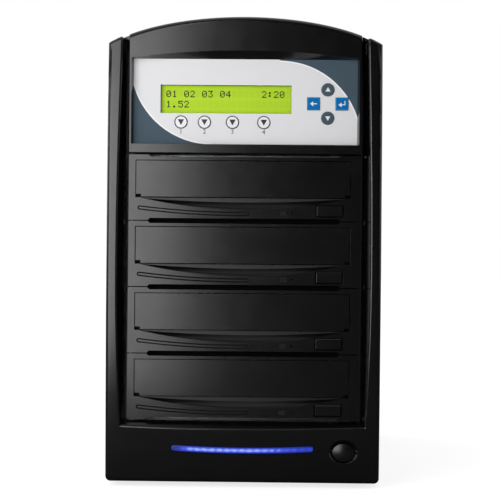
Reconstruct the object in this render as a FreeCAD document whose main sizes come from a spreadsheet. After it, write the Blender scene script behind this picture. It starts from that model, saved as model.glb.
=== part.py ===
import FreeCAD, Part
import math
import os
from types import SimpleNamespace

import Sketcher
from FreeCAD import Placement, Rotation, Vector

# Driving dimensions of the tower, in millimetres, grouped by the piece that they belong to.
# The front faces -Y, +X is to the right of someone facing it, and the feet stand on Z = 0.
SIZES = {
    # the whole tower
    "tower_width": 172,
    "foot_height": 3,
    "slide_gap": 0.3,
    "fit_gap": 0.05,
    "cut_past": 2,
    # front frame: two cheeks and a chin in one moulding
    "arch_rise": 17.5,
    "arch_corner_round": 1.2,
    "front_bulge": 6,
    "frame_depth": 40,
    "frame_corner_round": 3.2,
    "frame_edge_round": 2.6,
    "ridge_round": 1.4,
    "ridge_inset_low": 9.4,
    "ridge_inset_widest": 6.4,
    "ridge_inset_high": 9,
    "ridge_widest_rise": 127,
    "chin_end_rise": 34.8,
    "chin_middle_rise": 32.4,
    "channel_inset": 10.2,
    "channel_mouth_depth": 17,
    "channel_floor_depth": 30,
    "channel_under_gap": 0.9,
    "channel_top_wall": 3,
    "frame_wall": 2.6,
    "chin_wall_depth": 9,
    "chin_hollow_height": 28,
    "cheek_slot_depth": 12,
    "board_boss_radius": 3,
    # light strip in the chin
    "light_height": 4.1,
    "light_sag": 1.3,
    "light_rise": 21.4,
    "light_proud": 0.4,
    # power button in the chin
    "power_inset": 22.5,
    "power_rise": 19.5,
    "power_half_width": 6.85,
    "power_half_height": 5.5,
    "power_travel": 1.5,
    "power_flange": 1.1,
    "power_dome_radius": 17,
    "dish_half_width": 9.3,
    "dish_half_height": 7.4,
    "dish_depth": 1.9,
    # front board behind the chin
    "front_board_past_light": 5.5,
    "front_board_inset": 8,
    "front_board_low_rise": 6.5,
    "front_board_high_rise": 26.5,
    "front_board_depth": 20,
    "board_thick": 1.6,
    "lamp_side": 3,
    "lamp_high": 1,
    "power_switch_side": 6,
    "power_switch_high": 5,
    # centre column
    "column_inset": 12.6,
    "column_gap": 0.4,
    "drive_face_depth": 15,
    "stack_rise": 38.5,
    "drive_pitch": 42,
    "bezel_gap": 0.6,
    # drive bezel, seen from its left and its top edge
    "bezel_thick": 5,
    "ear_left": 12.2,
    "ear_right": 12.6,
    "ear_step": 1.3,
    "door_left": 4.5,
    "door_right": 6.6,
    "door_drop": 3.6,
    "door_rise": 14.6,
    "door_thick": 3,
    "door_notch_width": 3.2,
    "door_notch_height": 1.7,
    "scoop_sag": 7,
    "scoop_depth": 2.8,
    "scoop_lip": 0.6,
    "groove_left": 7,
    "groove_right": 71.4,
    "groove_width": 2.7,
    "groove_line": 0.8,
    "groove_deep": 0.7,
    "groove_left_rise": 7.8,
    "groove_right_rise": 4.2,
    "groove_sag": 1.1,
    "lamp_window_inset": 51,
    "lamp_window_width": 4.4,
    "lamp_window_height": 1.2,
    "pinhole_inset": 43,
    "pinhole_radius": 0.6,
    "small_marks_rise": 4.8,
    "eject_inset": 11,
    "eject_width": 17.2,
    "eject_rise": 2.7,
    "eject_height": 7.2,
    "eject_proud": 0.9,
    "eject_bevel": 1.2,
    "eject_flange": 0.5,
    "eject_flange_thick": 1,
    "eject_stem_length": 3,
    # drive shell, tray and mechanism
    "shell_inset": 1,
    "shell_past_tray": 9,
    "shell_rise": 1.5,
    "shell_sheet": 0.6,
    "rear_slot_width": 62,
    "rear_slot_height": 9,
    "tray_inset": 3.85,
    "tray_tail": 29.4,
    "tray_thick": 5,
    "tray_drop": 13.4,
    "disc_rim": 3.4,
    "disc_front_rim": 5.4,
    "disc_deep": 1.6,
    "small_disc_radius": 40.6,
    "small_disc_deep": 1.2,
    "tray_slot_half": 19,
    "tray_slot_back": 62,
    "deck_start": 8,
    "deck_thick": 2,
    "deck_end_gap": 2,
    "rail_ledge": 6,
    "rail_wall": 4,
    "rail_over": 2,
    "spindle_motor_radius": 14,
    "spindle_hub_radius": 9,
    "spindle_motor_high": 8,
    "spindle_drop": 1.5,
    "sled_width": 30,
    "sled_length": 36,
    "sled_high": 7,
    "sled_back": 28,
    "sled_lift": 2.5,
    "sled_rod_radius": 1.5,
    "sled_rod_half": 21,
    "sled_rod_length": 74,
    "lens_radius": 4,
    "lens_high": 2,
    "plug_width": 40,
    "plug_height": 7,
    "plug_depth": 10,
    # control panel with the arched forehead
    "panel_shoulder": 69,
    "brow_height": 9.1,
    "panel_proud": 6,
    "panel_bar_height": 6.1,
    "recess_depth": 5,
    "recess_side_slope": 1.4,
    "recess_low_slope": 0.3,
    "recess_arch": 6.8,
    "panel_floor": 2,
    "panel_side": 4,
    "panel_top_round": 3.5,
    "panel_edge_round": 0.8,
    "hollow_above": 1,
    # overlay
    "overlay_inset": 2.6,
    "overlay_thick": 0.5,
    # display behind the overlay's window
    "window_margin": 0.8,
    "display_side": 5.9,
    "display_under": 0.9,
    "display_over": 6,
    "display_thick": 6.5,
    "display_glass_deep": 1,
    # panel keys
    "key_radius": 3.9,
    "key_square": 7.6,
    "key_proud": 0.8,
    "key_flange": 0.6,
    "key_flange_thick": 1,
    "key_stem_radius": 1.5,
    "key_travel": 0.5,
    "key_switch_side": 5,
    "key_switch_high": 1,
    "key_board_inset": 8,
    "key_board_low": 1.5,
    "key_board_drop": 7.3,
    "panel_boss_radius": 2.6,
    "panel_boss_inset": 3.6,
    # sheet steel case
    "case_inset": 1,
    "case_drop": 3.3,
    "case_sheet": 1,
    "floor_flange": 12,
    "rear_lip": 12,
    "cover_screw_inset": 5.5,
    "cover_screw_end": 22,
    "chin_cable_half": 30,
    "chin_cable_low": 9,
    "chin_cable_high": 29,
    "foot_radius": 9,
    "foot_inset_side": 18,
    "foot_inset_end": 16,
    # drive cage and controller board
    "cage_sheet": 1.1,
    "cage_gap": 0.3,
    "cage_past_drive": 7,
    "cage_foot": 8,
    "drive_screw_rise": 10,
    "drive_screw_front": 45,
    "drive_screw_back": 125,
    "standoff_radius": 3,
    "standoff_height": 6,
    "controller_inset": 14.4,
    "controller_start": 10,
    "controller_depth": 110,
    "controller_hole_inset": 5,
    "chip_side": 24,
    "chip_high": 2.4,
    "chip_back": 45,
    "memory_side": 12,
    "memory_gap": 8,
    "socket_width": 17,
    "socket_depth": 8,
    "socket_high": 9,
    "socket_end_margin": 12.5,
    # screws
    "case_screw_head": 2.4,
    "case_screw_head_radius": 4.2,
    "case_screw_radius": 1.7,
    "case_screw_length": 6,
    "machine_head": 1.1,
    "machine_head_radius": 2.7,
    "machine_radius": 1.45,
    "machine_length": 4,
    "fan_screw_head": 1.4,
    "fan_screw_head_radius": 3.6,
    "fan_screw_radius": 2.1,
    "fan_screw_length": 10,
    # power supply
    "supply_inset": 9,
    "supply_past_fan": 3,
    "supply_depth": 140,
    "supply_sheet": 1,
    "supply_screw_inset_side": 6.7,
    "supply_screw_inset_end": 6,
    "aperture_side": 10,
    "aperture_inset": 8,
    "grille_web": 2,
    "grille_slot": 4.4,
    "grille_cross": 3,
    "supply_vent_width": 3,
    "supply_vent_height": 50,
    "supply_vent_pitch": 9,
    # mains inlet and switch
    "inlet_height_up": 57,
    "inlet_flange_half_width": 15,
    "inlet_flange_half_height": 11.5,
    "inlet_flange_thick": 2.4,
    "inlet_body_half_width": 13.6,
    "inlet_body_half_height": 9.8,
    "inlet_depth": 22,
    "socket_half_width": 12,
    "socket_half_height": 8,
    "socket_hollow": 17,
    "socket_corner": 4,
    "pin_half_width": 1,
    "pin_half_height": 2,
    "pin_length": 11,
    "pin_pitch": 7,
    "earth_pin_up": 3,
    "live_pin_down": 2,
    "switch_height_up": 25,
    "switch_flange_half_width": 10.5,
    "switch_flange_half_height": 7.5,
    "switch_body_half_width": 9.4,
    "switch_body_half_height": 6.4,
    "switch_depth": 12,
    "switch_wall": 1,
    "pivot_skin": 0.125,
    "rocker_gap": 0.7,
    "rocker_deep": 7,
    "rocker_valley": 1,
    "rocker_pin_radius": 1.2,
    "rocker_pin_reach": 0.7,
    # fans
    "fan_side": 80,
    "fan_thick": 25,
    "fan_bore_radius": 38,
    "fan_hole_half": 35.75,
    "fan_hub_radius": 18,
    "fan_hub_wall": 2,
    "fan_mount_radius": 17,
    "fan_mount_thick": 3,
    "fan_strut_width": 4,
    "fan_tube_radius": 4,
    "fan_tube_length": 14,
    "fan_shaft_radius": 1.5,
    "fan_face_gap": 1,
    "blade_tip_radius": 35.5,
    "blade_chord": 19,
    "blade_thick": 1.6,
    "case_fan_above": 20,
    "guard_wire": 1.6,
    "guard_ring_radius": 9,
    "guard_ring_step": 7,
    "vent_slot_width": 3,
    "vent_slot_height": 26,
    "vent_pitch": 8,
    "vent_drop": 36.2,
    # cables between the drives, the controller and the power supply
    "cable_bend": 5.5,
    "data_cable_radius": 1.7,
    "data_plug_width": 12,
    "data_plug_height": 5,
    "data_plug_length": 8,
    "data_lane_start": 1.5,
    "data_lane_pitch": 4,
    "data_rise": 10,
    "socket_plug_depth": 6,
    "power_cable_radius": 2.2,
    "power_plug_x": -14,
    "power_plug_width": 13,
    "power_lane": 11,
    "power_outlet_inset": 37,
    "cable_space": 30.6,
    "power_outlet_pitch": 7,
    "power_outlet_up": 67,
}

# Counts and shares.
DRIVES = 4
LIGHT_LAMPS = 6
FAN_BLADES = 7
GUARD_RINGS = 5
GRILLE_RINGS = 5
VENT_SLOTS = 15
SUPPLY_VENTS = 9
CONTROLLER_SOCKETS = 4
BLADE_PITCH_DEGREES = 38
arch_reach_share = 1.163
quarter_drop_share = 0.25
light_length_share = 0.5175
supply_left_share = 0.225
supply_right_share = 0.4

# Places on the overlay, as shares of its half width from the middle and of its height.
window_left_share = 0.7533
window_right_share = 0.4076
window_high_share = 0.695
function_column_shares = (-0.5735, -0.364, -0.1138, 0.1658)
function_row_share = 0.2584
arrow_column_share = 0.7351
up_row_share = 0.6487
down_row_share = 0.316
back_column_share = 0.6086
enter_column_share = 0.8616
side_row_share = 0.4833

scoop_floor_share = 0.35
blade_root_share = 0.75

TO_BACK = Rotation(Vector(1, 0, 0), -90)
TO_RIGHT = Rotation(Vector(0, 1, 0), 90)
UP = Rotation()


class Length:
    """A length with its number and the sheet expression that gives it."""

    def __init__(self, text, number):
        self.text = text
        self.number = number

    def __float__(self):
        return self.number

    def __neg__(self):
        return Length(f"(-{self.text})", -self.number)

    def __add__(self, other):
        return Length(f"({self.text} + {written(other)})", self.number + float(other))

    def __radd__(self, other):
        return Length(f"({written(other)} + {self.text})", float(other) + self.number)

    def __sub__(self, other):
        return Length(f"({self.text} - {written(other)})", self.number - float(other))

    def __rsub__(self, other):
        return Length(f"({written(other)} - {self.text})", float(other) - self.number)

    def __mul__(self, factor):
        return Length(f"({self.text} * {factor})", self.number * factor)

    def __rmul__(self, factor):
        return self * factor

    def __truediv__(self, divisor):
        return Length(f"({self.text} / {divisor})", self.number / divisor)


def written(value):
    """The expression text of a length, or of a plain number."""
    return value.text if isinstance(value, Length) else str(value)


doc = FreeCAD.newDocument("DuplicatorTower")
sheet = doc.addObject("Spreadsheet::Sheet", "Sizes")
for row, (alias, number) in enumerate(SIZES.items(), 1):
    sheet.set(f"A{row}", alias)
    sheet.set(f"B{row}", str(number))
    sheet.setAlias(f"B{row}", alias)
doc.recompute()
s = SimpleNamespace(**{alias: Length(f"Sizes.{alias}", float(sheet.get(alias))) for alias in SIZES})

NODES = []


def finished(node, piece):
    """Names a piece of the tower and marks it for export."""
    piece.Label = node
    NODES.append(piece)
    return piece


def place(thing, x, y, z, turn):
    """Turns a solid and binds its place to the sheet."""
    thing.Placement.Rotation = turn
    for axis, value in zip("xyz", (x, y, z)):
        thing.setExpression(f"Placement.Base.{axis}", written(value))
    return thing


def block(name, x, y, z):
    """A box between low and high values along X, Y and Z."""
    box = doc.addObject("Part::Box", name)
    for prop, (low, high) in zip(("Length", "Width", "Height"), (x, y, z)):
        box.setExpression(prop, written(high - low))
    return place(box, x[0], y[0], z[0], UP)


def rod(name, radius, start, length, turn=TO_BACK):
    """A round bar from a point, towards the back unless turned."""
    bar = doc.addObject("Part::Cylinder", name)
    bar.setExpression("Radius", written(radius))
    bar.setExpression("Height", written(length))
    return place(bar, *start, turn)


def ring(name, radius, wire, centre):
    """A wire ring standing in a plane across Y."""
    torus = doc.addObject("Part::Torus", name)
    torus.setExpression("Radius1", written(radius))
    torus.setExpression("Radius2", written(wire))
    return place(torus, *centre, TO_BACK)


def fused(name, *pieces):
    """Several solids as one."""
    fuse = doc.addObject("Part::MultiFuse", name)
    fuse.Shapes = list(pieces)
    fuse.Refine = True
    return fuse


def cut(name, base, *tools):
    """A solid with other solids taken away."""
    result = doc.addObject("Part::Cut", name)
    result.Base = base
    result.Tool = tools[0] if len(tools) == 1 else fused(name + "Tools", *tools)
    result.Refine = True
    return result


def group(name, pieces):
    """Separate solids that share one node."""
    compound = doc.addObject("Part::Compound", name)
    compound.Links = list(pieces)
    return compound


def shaped(name, shape):
    """A piece whose shape is worked out from the sheet's numbers."""
    feature = doc.addObject("Part::Feature", name)
    feature.Shape = shape
    feature.Placement = Placement()
    return feature


def at(x, y, z):
    """A point or direction in space from lengths."""
    return Vector(float(x), float(y), float(z))


def solid_box(x, y, z):
    """A plain box shape between low and high values."""
    size = at(x[1] - x[0], y[1] - y[0], z[1] - z[0])
    return Part.makeBox(size.x, size.y, size.z, at(x[0], y[0], z[0]))


def solid_rod(radius, start, length):
    """A plain round bar towards the back."""
    return Part.makeCylinder(float(radius), float(length), at(*start), Vector(0, 1, 0))


def arc(first, middle, last):
    """An edge through three points."""
    return Part.Arc(first, middle, last).toShape()


def line(first, last):
    """A straight edge."""
    return Part.LineSegment(first, last).toShape()


def extruded(edges, length):
    """A solid from closed edges, pulled towards the back."""
    return Part.Face(Part.Wire(edges)).extrude(at(0, length, 0))


def ruled(front_edges, back_edges):
    """A solid with straight sides between two closed outlines."""
    return Part.makeLoft([Part.Wire(front_edges), Part.Wire(back_edges)], True, True)


class Drawing:
    """A sketch on an origin plane of a body, tied to the sheet."""

    def __init__(self, body, name, role, offset=0):
        self.sketch = body.newObject("Sketcher::SketchObject", name)
        plane = [feature for feature in body.Origin.OriginFeatures if feature.Role == role][0]
        self.sketch.AttachmentSupport = [(plane, "")]
        self.sketch.MapMode = "FlatFace"
        if isinstance(offset, Length):
            self.sketch.setExpression("AttachmentOffset.Base.z", offset.text)

    def hold(self, kind, *where, value):
        """Adds a dimension and binds it to the sheet."""
        index = self.sketch.addConstraint(Sketcher.Constraint(kind, *where, float(value)))
        if isinstance(value, Length):
            self.sketch.setExpression(f"Constraints[{index}]", value.text)

    def rectangle(self, u, v):
        """A rectangle between low and high values on both sketch axes."""
        low = at(u[0], v[0], 0)
        high = at(u[1], v[1], 0)
        corners = [low, Vector(high.x, low.y, 0), high, Vector(low.x, high.y, 0)]
        first = self.sketch.GeometryCount
        for start, end in zip(corners, corners[1:] + corners[:1]):
            self.sketch.addGeometry(Part.LineSegment(start, end), False)
        for side in range(4):
            following = first + (side + 1) % 4
            self.sketch.addConstraint(Sketcher.Constraint("Coincident", first + side, 2, following, 1))
            kind = "Vertical" if side % 2 else "Horizontal"
            self.sketch.addConstraint(Sketcher.Constraint(kind, first + side))
        self.hold("DistanceX", -1, 1, first, 1, value=u[0])
        self.hold("DistanceY", -1, 1, first, 1, value=v[0])
        self.hold("DistanceX", first, 1, first, 2, value=u[1] - u[0])
        self.hold("DistanceY", first + 1, 1, first + 1, 2, value=v[1] - v[0])

    def circle(self, centre, radius):
        """A circle about a point of the sketch."""
        first = self.sketch.GeometryCount
        circle = Part.Circle(at(centre[0], centre[1], 0), Vector(0, 0, 1), float(radius))
        self.sketch.addGeometry(circle, False)
        self.hold("Radius", first, value=radius)
        self.hold("DistanceX", -1, 1, first, 3, value=centre[0])
        self.hold("DistanceY", -1, 1, first, 3, value=centre[1])


def pad(body, drawing, name, length, reverse=False):
    """Adds a drawing's outline to a body as a plate."""
    feature = body.newObject("PartDesign::Pad", name)
    feature.Profile = drawing.sketch
    feature.setExpression("Length", written(length))
    feature.Reversed = reverse
    return feature


def pocket(body, drawing, name, length, reverse=False):
    """Takes a drawing's outline out of a body."""
    feature = body.newObject("PartDesign::Pocket", name)
    feature.Profile = drawing.sketch
    feature.setExpression("Length", written(length))
    feature.Reversed = reverse
    return feature


def body_at(name, x=0, y=0, z=0):
    """An empty body whose place is bound to the sheet."""
    body = doc.addObject("PartDesign::Body", name)
    return place(body, x, y, z, UP)


# Places that several pieces share, from the drive's width and length to the whole tower's.
half_width = s.tower_width / 2
column_half = half_width - s.column_inset
column_width = column_half * 2
channel_half = half_width - s.channel_inset
door_width = column_width - s.door_left - s.door_right
tray_half = door_width / 2 - s.tray_inset
disc_radius = tray_half - s.disc_rim
disc_centre_back = disc_radius + s.disc_front_rim
tray_depth = disc_centre_back + disc_radius + s.tray_tail
shell_depth = tray_depth + s.shell_past_tray
rear_stack = s.supply_depth + s.case_sheet * 2 + s.case_screw_head
tower_depth = s.drive_face_depth + s.bezel_thick + shell_depth + s.cable_space + rear_stack
front = -tower_depth / 2
floor_z = s.foot_height
frame_back = front + s.frame_depth
drive_face = front + s.drive_face_depth
stack_z = floor_z + s.stack_rise
panel_z = stack_z + s.drive_pitch * DRIVES
bezel_height = s.drive_pitch - s.bezel_gap
cheek_height = s.stack_rise + s.drive_pitch * DRIVES + s.panel_shoulder
shoulder_z = floor_z + cheek_height
arch_top = shoulder_z + s.arch_rise
rear_face = tower_depth / 2 - s.case_screw_head
rear_panel_face = rear_face - s.case_sheet
rear_inside = rear_panel_face - s.case_sheet
case_half = half_width - s.case_inset
case_inner_half = case_half - s.case_sheet
case_height = cheek_height - s.case_drop
case_top = floor_z + case_height
case_floor = floor_z + s.case_sheet
chin_wall = front + s.chin_wall_depth
front_board_face = chin_wall + s.front_board_depth - s.board_thick * 2
power_x = half_width - s.power_inset
power_z = floor_z + s.power_rise
light_length = s.tower_width * light_length_share
light_z = floor_z + s.light_rise
front_board_left = light_length / 2 + s.front_board_past_light
front_board_right = half_width - s.front_board_inset
panel_face = drive_face - s.panel_proud
overlay_front = panel_face + s.recess_depth
overlay_back = overlay_front + s.overlay_thick
panel_floor_back = overlay_back + s.panel_floor
overlay_z = panel_z + s.panel_bar_height
overlay_height = s.panel_shoulder - s.panel_bar_height - s.brow_height
overlay_half = column_half - s.overlay_inset
key_board_face = panel_floor_back + s.display_thick
key_board_half = column_half - s.key_board_inset
function_z = overlay_z + overlay_height * function_row_share
display_low = function_z + s.key_radius + s.key_flange + s.slide_gap
window_low = display_low + s.display_under
window_high = overlay_z + overlay_height * window_high_share
window_left = overlay_half * window_left_share
window_right = overlay_half * window_right_share
supply_height = s.fan_side + s.supply_past_fan * 2
supply_top = case_floor + supply_height
supply_half = case_inner_half - s.supply_inset
supply_front = rear_inside - s.supply_depth
supply_spare = supply_half * 2 - s.fan_side - s.inlet_flange_half_width * 2
supply_fan_x = s.fan_side / 2 - supply_half + supply_spare * supply_left_share
inlet_x = supply_half - s.inlet_flange_half_width - supply_spare * supply_right_share
case_fan_z = supply_top + s.case_fan_above + s.fan_side / 2


def drive_z(index):
    """The low edge of a drive's bezel."""
    return stack_z + s.drive_pitch * index


# Front frame: cheeks and chin, with a face that bulges gently from top to bottom, a flank that
# slopes from each bowed ridge down to the channel beside the column, and a hollow chin.
def arched_block(front_y, back_y):
    """The tower's front outline with its arched top, as a thick block."""
    low = float(floor_z)
    high = float(shoulder_z)
    half = float(half_width)
    y = float(front_y)
    edges = [
        line(Vector(-half, y, low), Vector(half, y, low)),
        line(Vector(half, y, low), Vector(half, y, high)),
        arch_edge(half, y, high),
        line(Vector(-half, y, high), Vector(-half, y, low)),
    ]
    return extruded(edges, back_y - front_y)


def arch_edge(half, y, high):
    """The arch: the top of a wide ellipse, from the right shoulder over to the left one."""
    reach = half * arch_reach_share
    fall_share = 1 - math.sqrt(1 - 1 / arch_reach_share ** 2)
    rise = float(s.arch_rise) / fall_share
    ellipse = Part.Ellipse(Vector(0, 0, 0), reach, rise)
    turn = math.acos(1 / arch_reach_share)
    edge = Part.ArcOfEllipse(ellipse, turn, math.pi - turn).toShape()
    edge.Placement = Placement(Vector(0, y, high + float(s.arch_rise) - rise), Rotation(Vector(1, 0, 0), 90))
    return edge


def bulge_radius():
    """Radius of the bulging front, from its rise over half of the tower's height."""
    half_height = float(arch_top - floor_z) / 2
    bulge = float(s.front_bulge)
    return (half_height ** 2 + bulge ** 2) / (2 * bulge)


def front_at(z):
    """Where the bulging front lies at a height."""
    middle = float(floor_z + arch_top) / 2
    radius = bulge_radius()
    return float(front) + radius - math.sqrt(radius ** 2 - (float(z) - middle) ** 2)


def bulge_solid():
    """A wide bar whose front is the bulging surface."""
    radius = bulge_radius()
    middle = float(floor_z + arch_top) / 2
    start = Vector(-float(half_width + s.cut_past), float(front) + radius, middle)
    return Part.makeCylinder(radius, float(s.tower_width + s.cut_past * 2), start, Vector(1, 0, 0))


def ridge_outline():
    """The opening at the ridges: smiling chin edge, bowed ridges, open above the arch."""
    y = float(front - s.cut_past)
    low = float(half_width - s.ridge_inset_low)
    wide = float(half_width - s.ridge_inset_widest)
    high = float(half_width - s.ridge_inset_high)
    end_z = float(floor_z + s.chin_end_rise)
    middle_z = float(floor_z + s.chin_middle_rise)
    wide_z = float(floor_z + s.ridge_widest_rise)
    high_z = float(arch_top + s.cut_past)
    low_x = wide - (wide - low) * quarter_drop_share
    high_x = wide - (wide - high) * quarter_drop_share
    edges = [arc(Vector(-low, y, end_z), Vector(0, y, middle_z), Vector(low, y, end_z))]
    for side in (1, -1):
        lower = arc(
            Vector(side * low, y, end_z),
            Vector(side * low_x, y, (end_z + wide_z) / 2),
            Vector(side * wide, y, wide_z),
        )
        upper = arc(
            Vector(side * wide, y, wide_z),
            Vector(side * high_x, y, (wide_z + high_z) / 2),
            Vector(side * high, y, high_z),
        )
        edges += [lower, upper] if side > 0 else [upper, lower]
    edges.insert(3, line(Vector(high, y, high_z), Vector(-high, y, high_z)))
    return edges


def channel_outline():
    """The straight opening at the foot of the flanks."""
    y = float(front + s.channel_mouth_depth)
    half = float(channel_half)
    low_z = float(stack_z - s.channel_under_gap)
    wide_z = float(floor_z + s.ridge_widest_rise)
    high_z = float(arch_top + s.cut_past)
    points = [
        Vector(-half, y, low_z),
        Vector(half, y, low_z),
        Vector(half, y, wide_z),
        Vector(half, y, high_z),
        Vector(-half, y, high_z),
        Vector(-half, y, wide_z),
    ]
    return [line(first, last) for first, last in zip(points, points[1:] + points[:1])]


def light_outline(y, grow):
    """The curved pill of the light strip, at a depth, with room to spare on every side."""
    half = float(light_length) / 2 - float(s.light_height) / 2
    thick = float(s.light_height) / 2 + float(grow)
    sag = float(s.light_sag)
    middle_z = float(light_z) - sag
    y = float(y)
    radius = (half ** 2 + sag ** 2) / (2 * sag)
    centre_z = middle_z + radius
    lean = math.asin(half / radius)

    def point(angle, reach):
        return Vector(reach * math.sin(angle), y, centre_z - reach * math.cos(angle))

    outer = radius + thick
    inner = radius - thick
    left_tip = Vector(-half - thick * math.cos(lean), y, float(light_z) + thick * math.sin(lean))
    right_tip = Vector(half + thick * math.cos(lean), y, float(light_z) + thick * math.sin(lean))
    return [
        arc(point(-lean, outer), point(0, outer), point(lean, outer)),
        arc(point(lean, outer), right_tip, point(lean, inner)),
        arc(point(lean, inner), point(0, inner), point(-lean, inner)),
        arc(point(-lean, inner), left_tip, point(-lean, outer)),
    ]


def oval(half_width_value, half_height_value, y):
    """A flat oval about the power button's axis, at a depth."""
    wide = float(half_width_value)
    high = float(half_height_value)
    ellipse = Part.Ellipse(Vector(0, 0, 0), wide, high)
    edge = ellipse.toShape()
    edge.Placement = Placement(at(power_x, y, power_z), Rotation(Vector(1, 0, 0), 90))
    return edge


def oval_bar(half_width_value, half_height_value, y, length):
    """An oval bar towards the back, on the power button's axis."""
    face = Part.Face(Part.Wire([oval(half_width_value, half_height_value, y)]))
    return face.extrude(at(0, length, 0))


def front_edges(shape, test):
    """Edges of the bulging front whose middle passes a test."""
    radius = bulge_radius()
    found = []
    for face in shape.Faces:
        surface = face.Surface
        if isinstance(surface, Part.Cylinder) and abs(surface.Radius - radius) < radius * 1e-6:
            found += [edge for edge in face.Edges if test(edge.CenterOfMass)]
    return found


def long_edges(shape):
    """Edges that run mostly from front to back."""
    return [edge for edge in shape.Edges
            if edge.BoundBox.YLength > edge.BoundBox.XLength + edge.BoundBox.ZLength]


def front_frame():
    frame = arched_block(front, frame_back)
    half = float(half_width)
    low_corners = [edge for edge in long_edges(frame) if edge.CenterOfMass.z < float(stack_z)]
    frame = frame.makeFillet(float(s.frame_corner_round), low_corners)
    high_corners = [edge for edge in long_edges(frame) if edge.CenterOfMass.z > float(panel_z)]
    frame = frame.makeFillet(float(s.arch_corner_round), high_corners)
    frame = frame.common(bulge_solid())
    frame = frame.makeFillet(float(s.frame_edge_round), front_edges(frame, lambda middle: True))
    frame = frame.cut(ruled(ridge_outline(), channel_outline()))
    inner = half - float(s.frame_edge_round)
    low_edge = float(floor_z + s.frame_edge_round)
    top_edge = float(shoulder_z)
    ridges = front_edges(frame, lambda middle: abs(middle.x) < inner and middle.z > low_edge
                         and middle.z < top_edge)
    frame = frame.makeFillet(float(s.ridge_round), ridges)
    past = s.cut_past
    channel_low = stack_z - s.channel_under_gap
    top = arch_top + past
    mouth = front + s.channel_mouth_depth
    frame = frame.cut(solid_box((-channel_half, channel_half), (mouth, front + s.channel_floor_depth),
                                (channel_low, shoulder_z + s.channel_top_wall)))
    column = column_half + s.column_gap
    frame = frame.cut(solid_box((-column, column), (front, frame_back + past), (channel_low, top)))
    hollow = half_width - s.frame_wall
    frame = frame.cut(solid_box((-hollow, hollow), (chin_wall, frame_back + past),
                                (floor_z + s.frame_wall, floor_z + s.chin_hollow_height)))
    for side in (1, -1):
        ends = sorted((side * (channel_half + s.frame_wall), side * hollow), key=float)
        frame = frame.cut(solid_box(ends, (front + s.cheek_slot_depth, frame_back + past),
                                    (floor_z + s.frame_wall, shoulder_z - s.frame_wall * 2)))
    for x, z in front_board_screws():
        boss = solid_rod(s.board_boss_radius, (x, chin_wall, z), front_board_face - chin_wall)
        hole = solid_rod(s.machine_radius + s.fit_gap,
                         (x, front_board_face - s.machine_length, z), s.machine_length + past)
        frame = frame.fuse(boss).cut(hole)
    frame = frame.cut(extruded(light_outline(front, s.slide_gap), chin_wall - front + past))
    skin = front_at(power_z)
    gap = s.slide_gap
    frame = frame.cut(oval_bar(s.power_half_width + gap, s.power_half_height + gap,
                               front, chin_wall - front + past))
    dish = ruled([oval(s.dish_half_width + s.dish_depth, s.dish_half_height + s.dish_depth,
                       skin - float(s.dish_depth))],
                 [oval(s.power_half_width + gap, s.power_half_height + gap, skin + float(s.dish_depth))])
    return finished("front_frame", shaped("FrontFrame", frame.cut(dish)))


def front_board_screws():
    """Where the front board is screwed to the chin."""
    low = floor_z + s.front_board_low_rise + s.board_boss_radius
    left = s.board_boss_radius - front_board_left
    right = front_board_right - s.board_boss_radius
    return [(left, low), (right, low)]


def light_bar():
    front_y = front_at(light_z) - float(s.light_proud)
    back_y = front_board_face - s.lamp_high
    bar = extruded(light_outline(front_y, 0), back_y - front_y)
    return finished("light_bar", shaped("LightBar", bar))


def power_button():
    tip = front_at(power_z)
    ball_radius = float(s.power_dome_radius)
    wall_back = chin_wall
    bar = oval_bar(s.power_half_width, s.power_half_height, tip, wall_back - tip)
    ball = Part.makeSphere(ball_radius, at(power_x, tip + ball_radius, power_z))
    cap = bar.common(ball)
    flange = oval_bar(s.power_half_width + s.power_flange, s.power_half_height + s.power_flange,
                      wall_back, s.power_flange)
    stem_start = wall_back + s.power_flange
    switch_face = front_board_face - s.power_switch_high
    stem_end = switch_face - s.power_travel - s.slide_gap
    stem = solid_rod(s.power_switch_side / 2, (power_x, stem_start, power_z), stem_end - stem_start)
    return finished("power_button", shaped("PowerButton", cap.fuse([flange, stem]).removeSplitter()))


def front_board():
    low = floor_z + s.front_board_low_rise
    high = floor_z + s.front_board_high_rise
    card = block("FrontCard", (-front_board_left, front_board_right),
                 (front_board_face, front_board_face + s.board_thick), (low, high))
    side = s.power_switch_side / 2
    parts = [card, block("PowerSwitch", (power_x - side, power_x + side),
                         (front_board_face - s.power_switch_high, front_board_face),
                         (power_z - side, power_z + side))]
    half = s.lamp_side / 2
    step = (light_length - s.light_height - s.lamp_side) / (LIGHT_LAMPS - 1)
    lamp_z = light_z - s.light_sag / 2
    for index in range(LIGHT_LAMPS):
        x = step * (index - (LIGHT_LAMPS - 1) / 2)
        parts.append(block("Lamp", (x - half, x + half), (front_board_face - s.lamp_high, front_board_face),
                           (lamp_z - half, lamp_z + half)))
    holes = [rod("FrontCardHole", s.machine_radius + s.fit_gap, (x, front_board_face - s.cut_past, z),
                 s.board_thick + s.cut_past * 2) for x, z in front_board_screws()]
    return finished("front_board", cut("FrontBoard", fused("FrontBoardBlank", *parts), *holes))


# Control panel: a housing under the arch, its face recessed for the overlay behind a bevel that
# rises to a shallow arch below the forehead, and hollow behind for the display and the key board.
def key_places():
    """Each key's name with its place and whether it is square."""
    places = [(f"function_key_{number}", overlay_half * share, function_z, False)
              for number, share in enumerate(function_column_shares, 1)]
    for name, column, row, square in (("up_key", arrow_column_share, up_row_share, False),
                                      ("down_key", arrow_column_share, down_row_share, False),
                                      ("back_key", back_column_share, side_row_share, True),
                                      ("enter_key", enter_column_share, side_row_share, True)):
        places.append((name, overlay_half * column, overlay_z + overlay_height * row, square))
    return places


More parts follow.
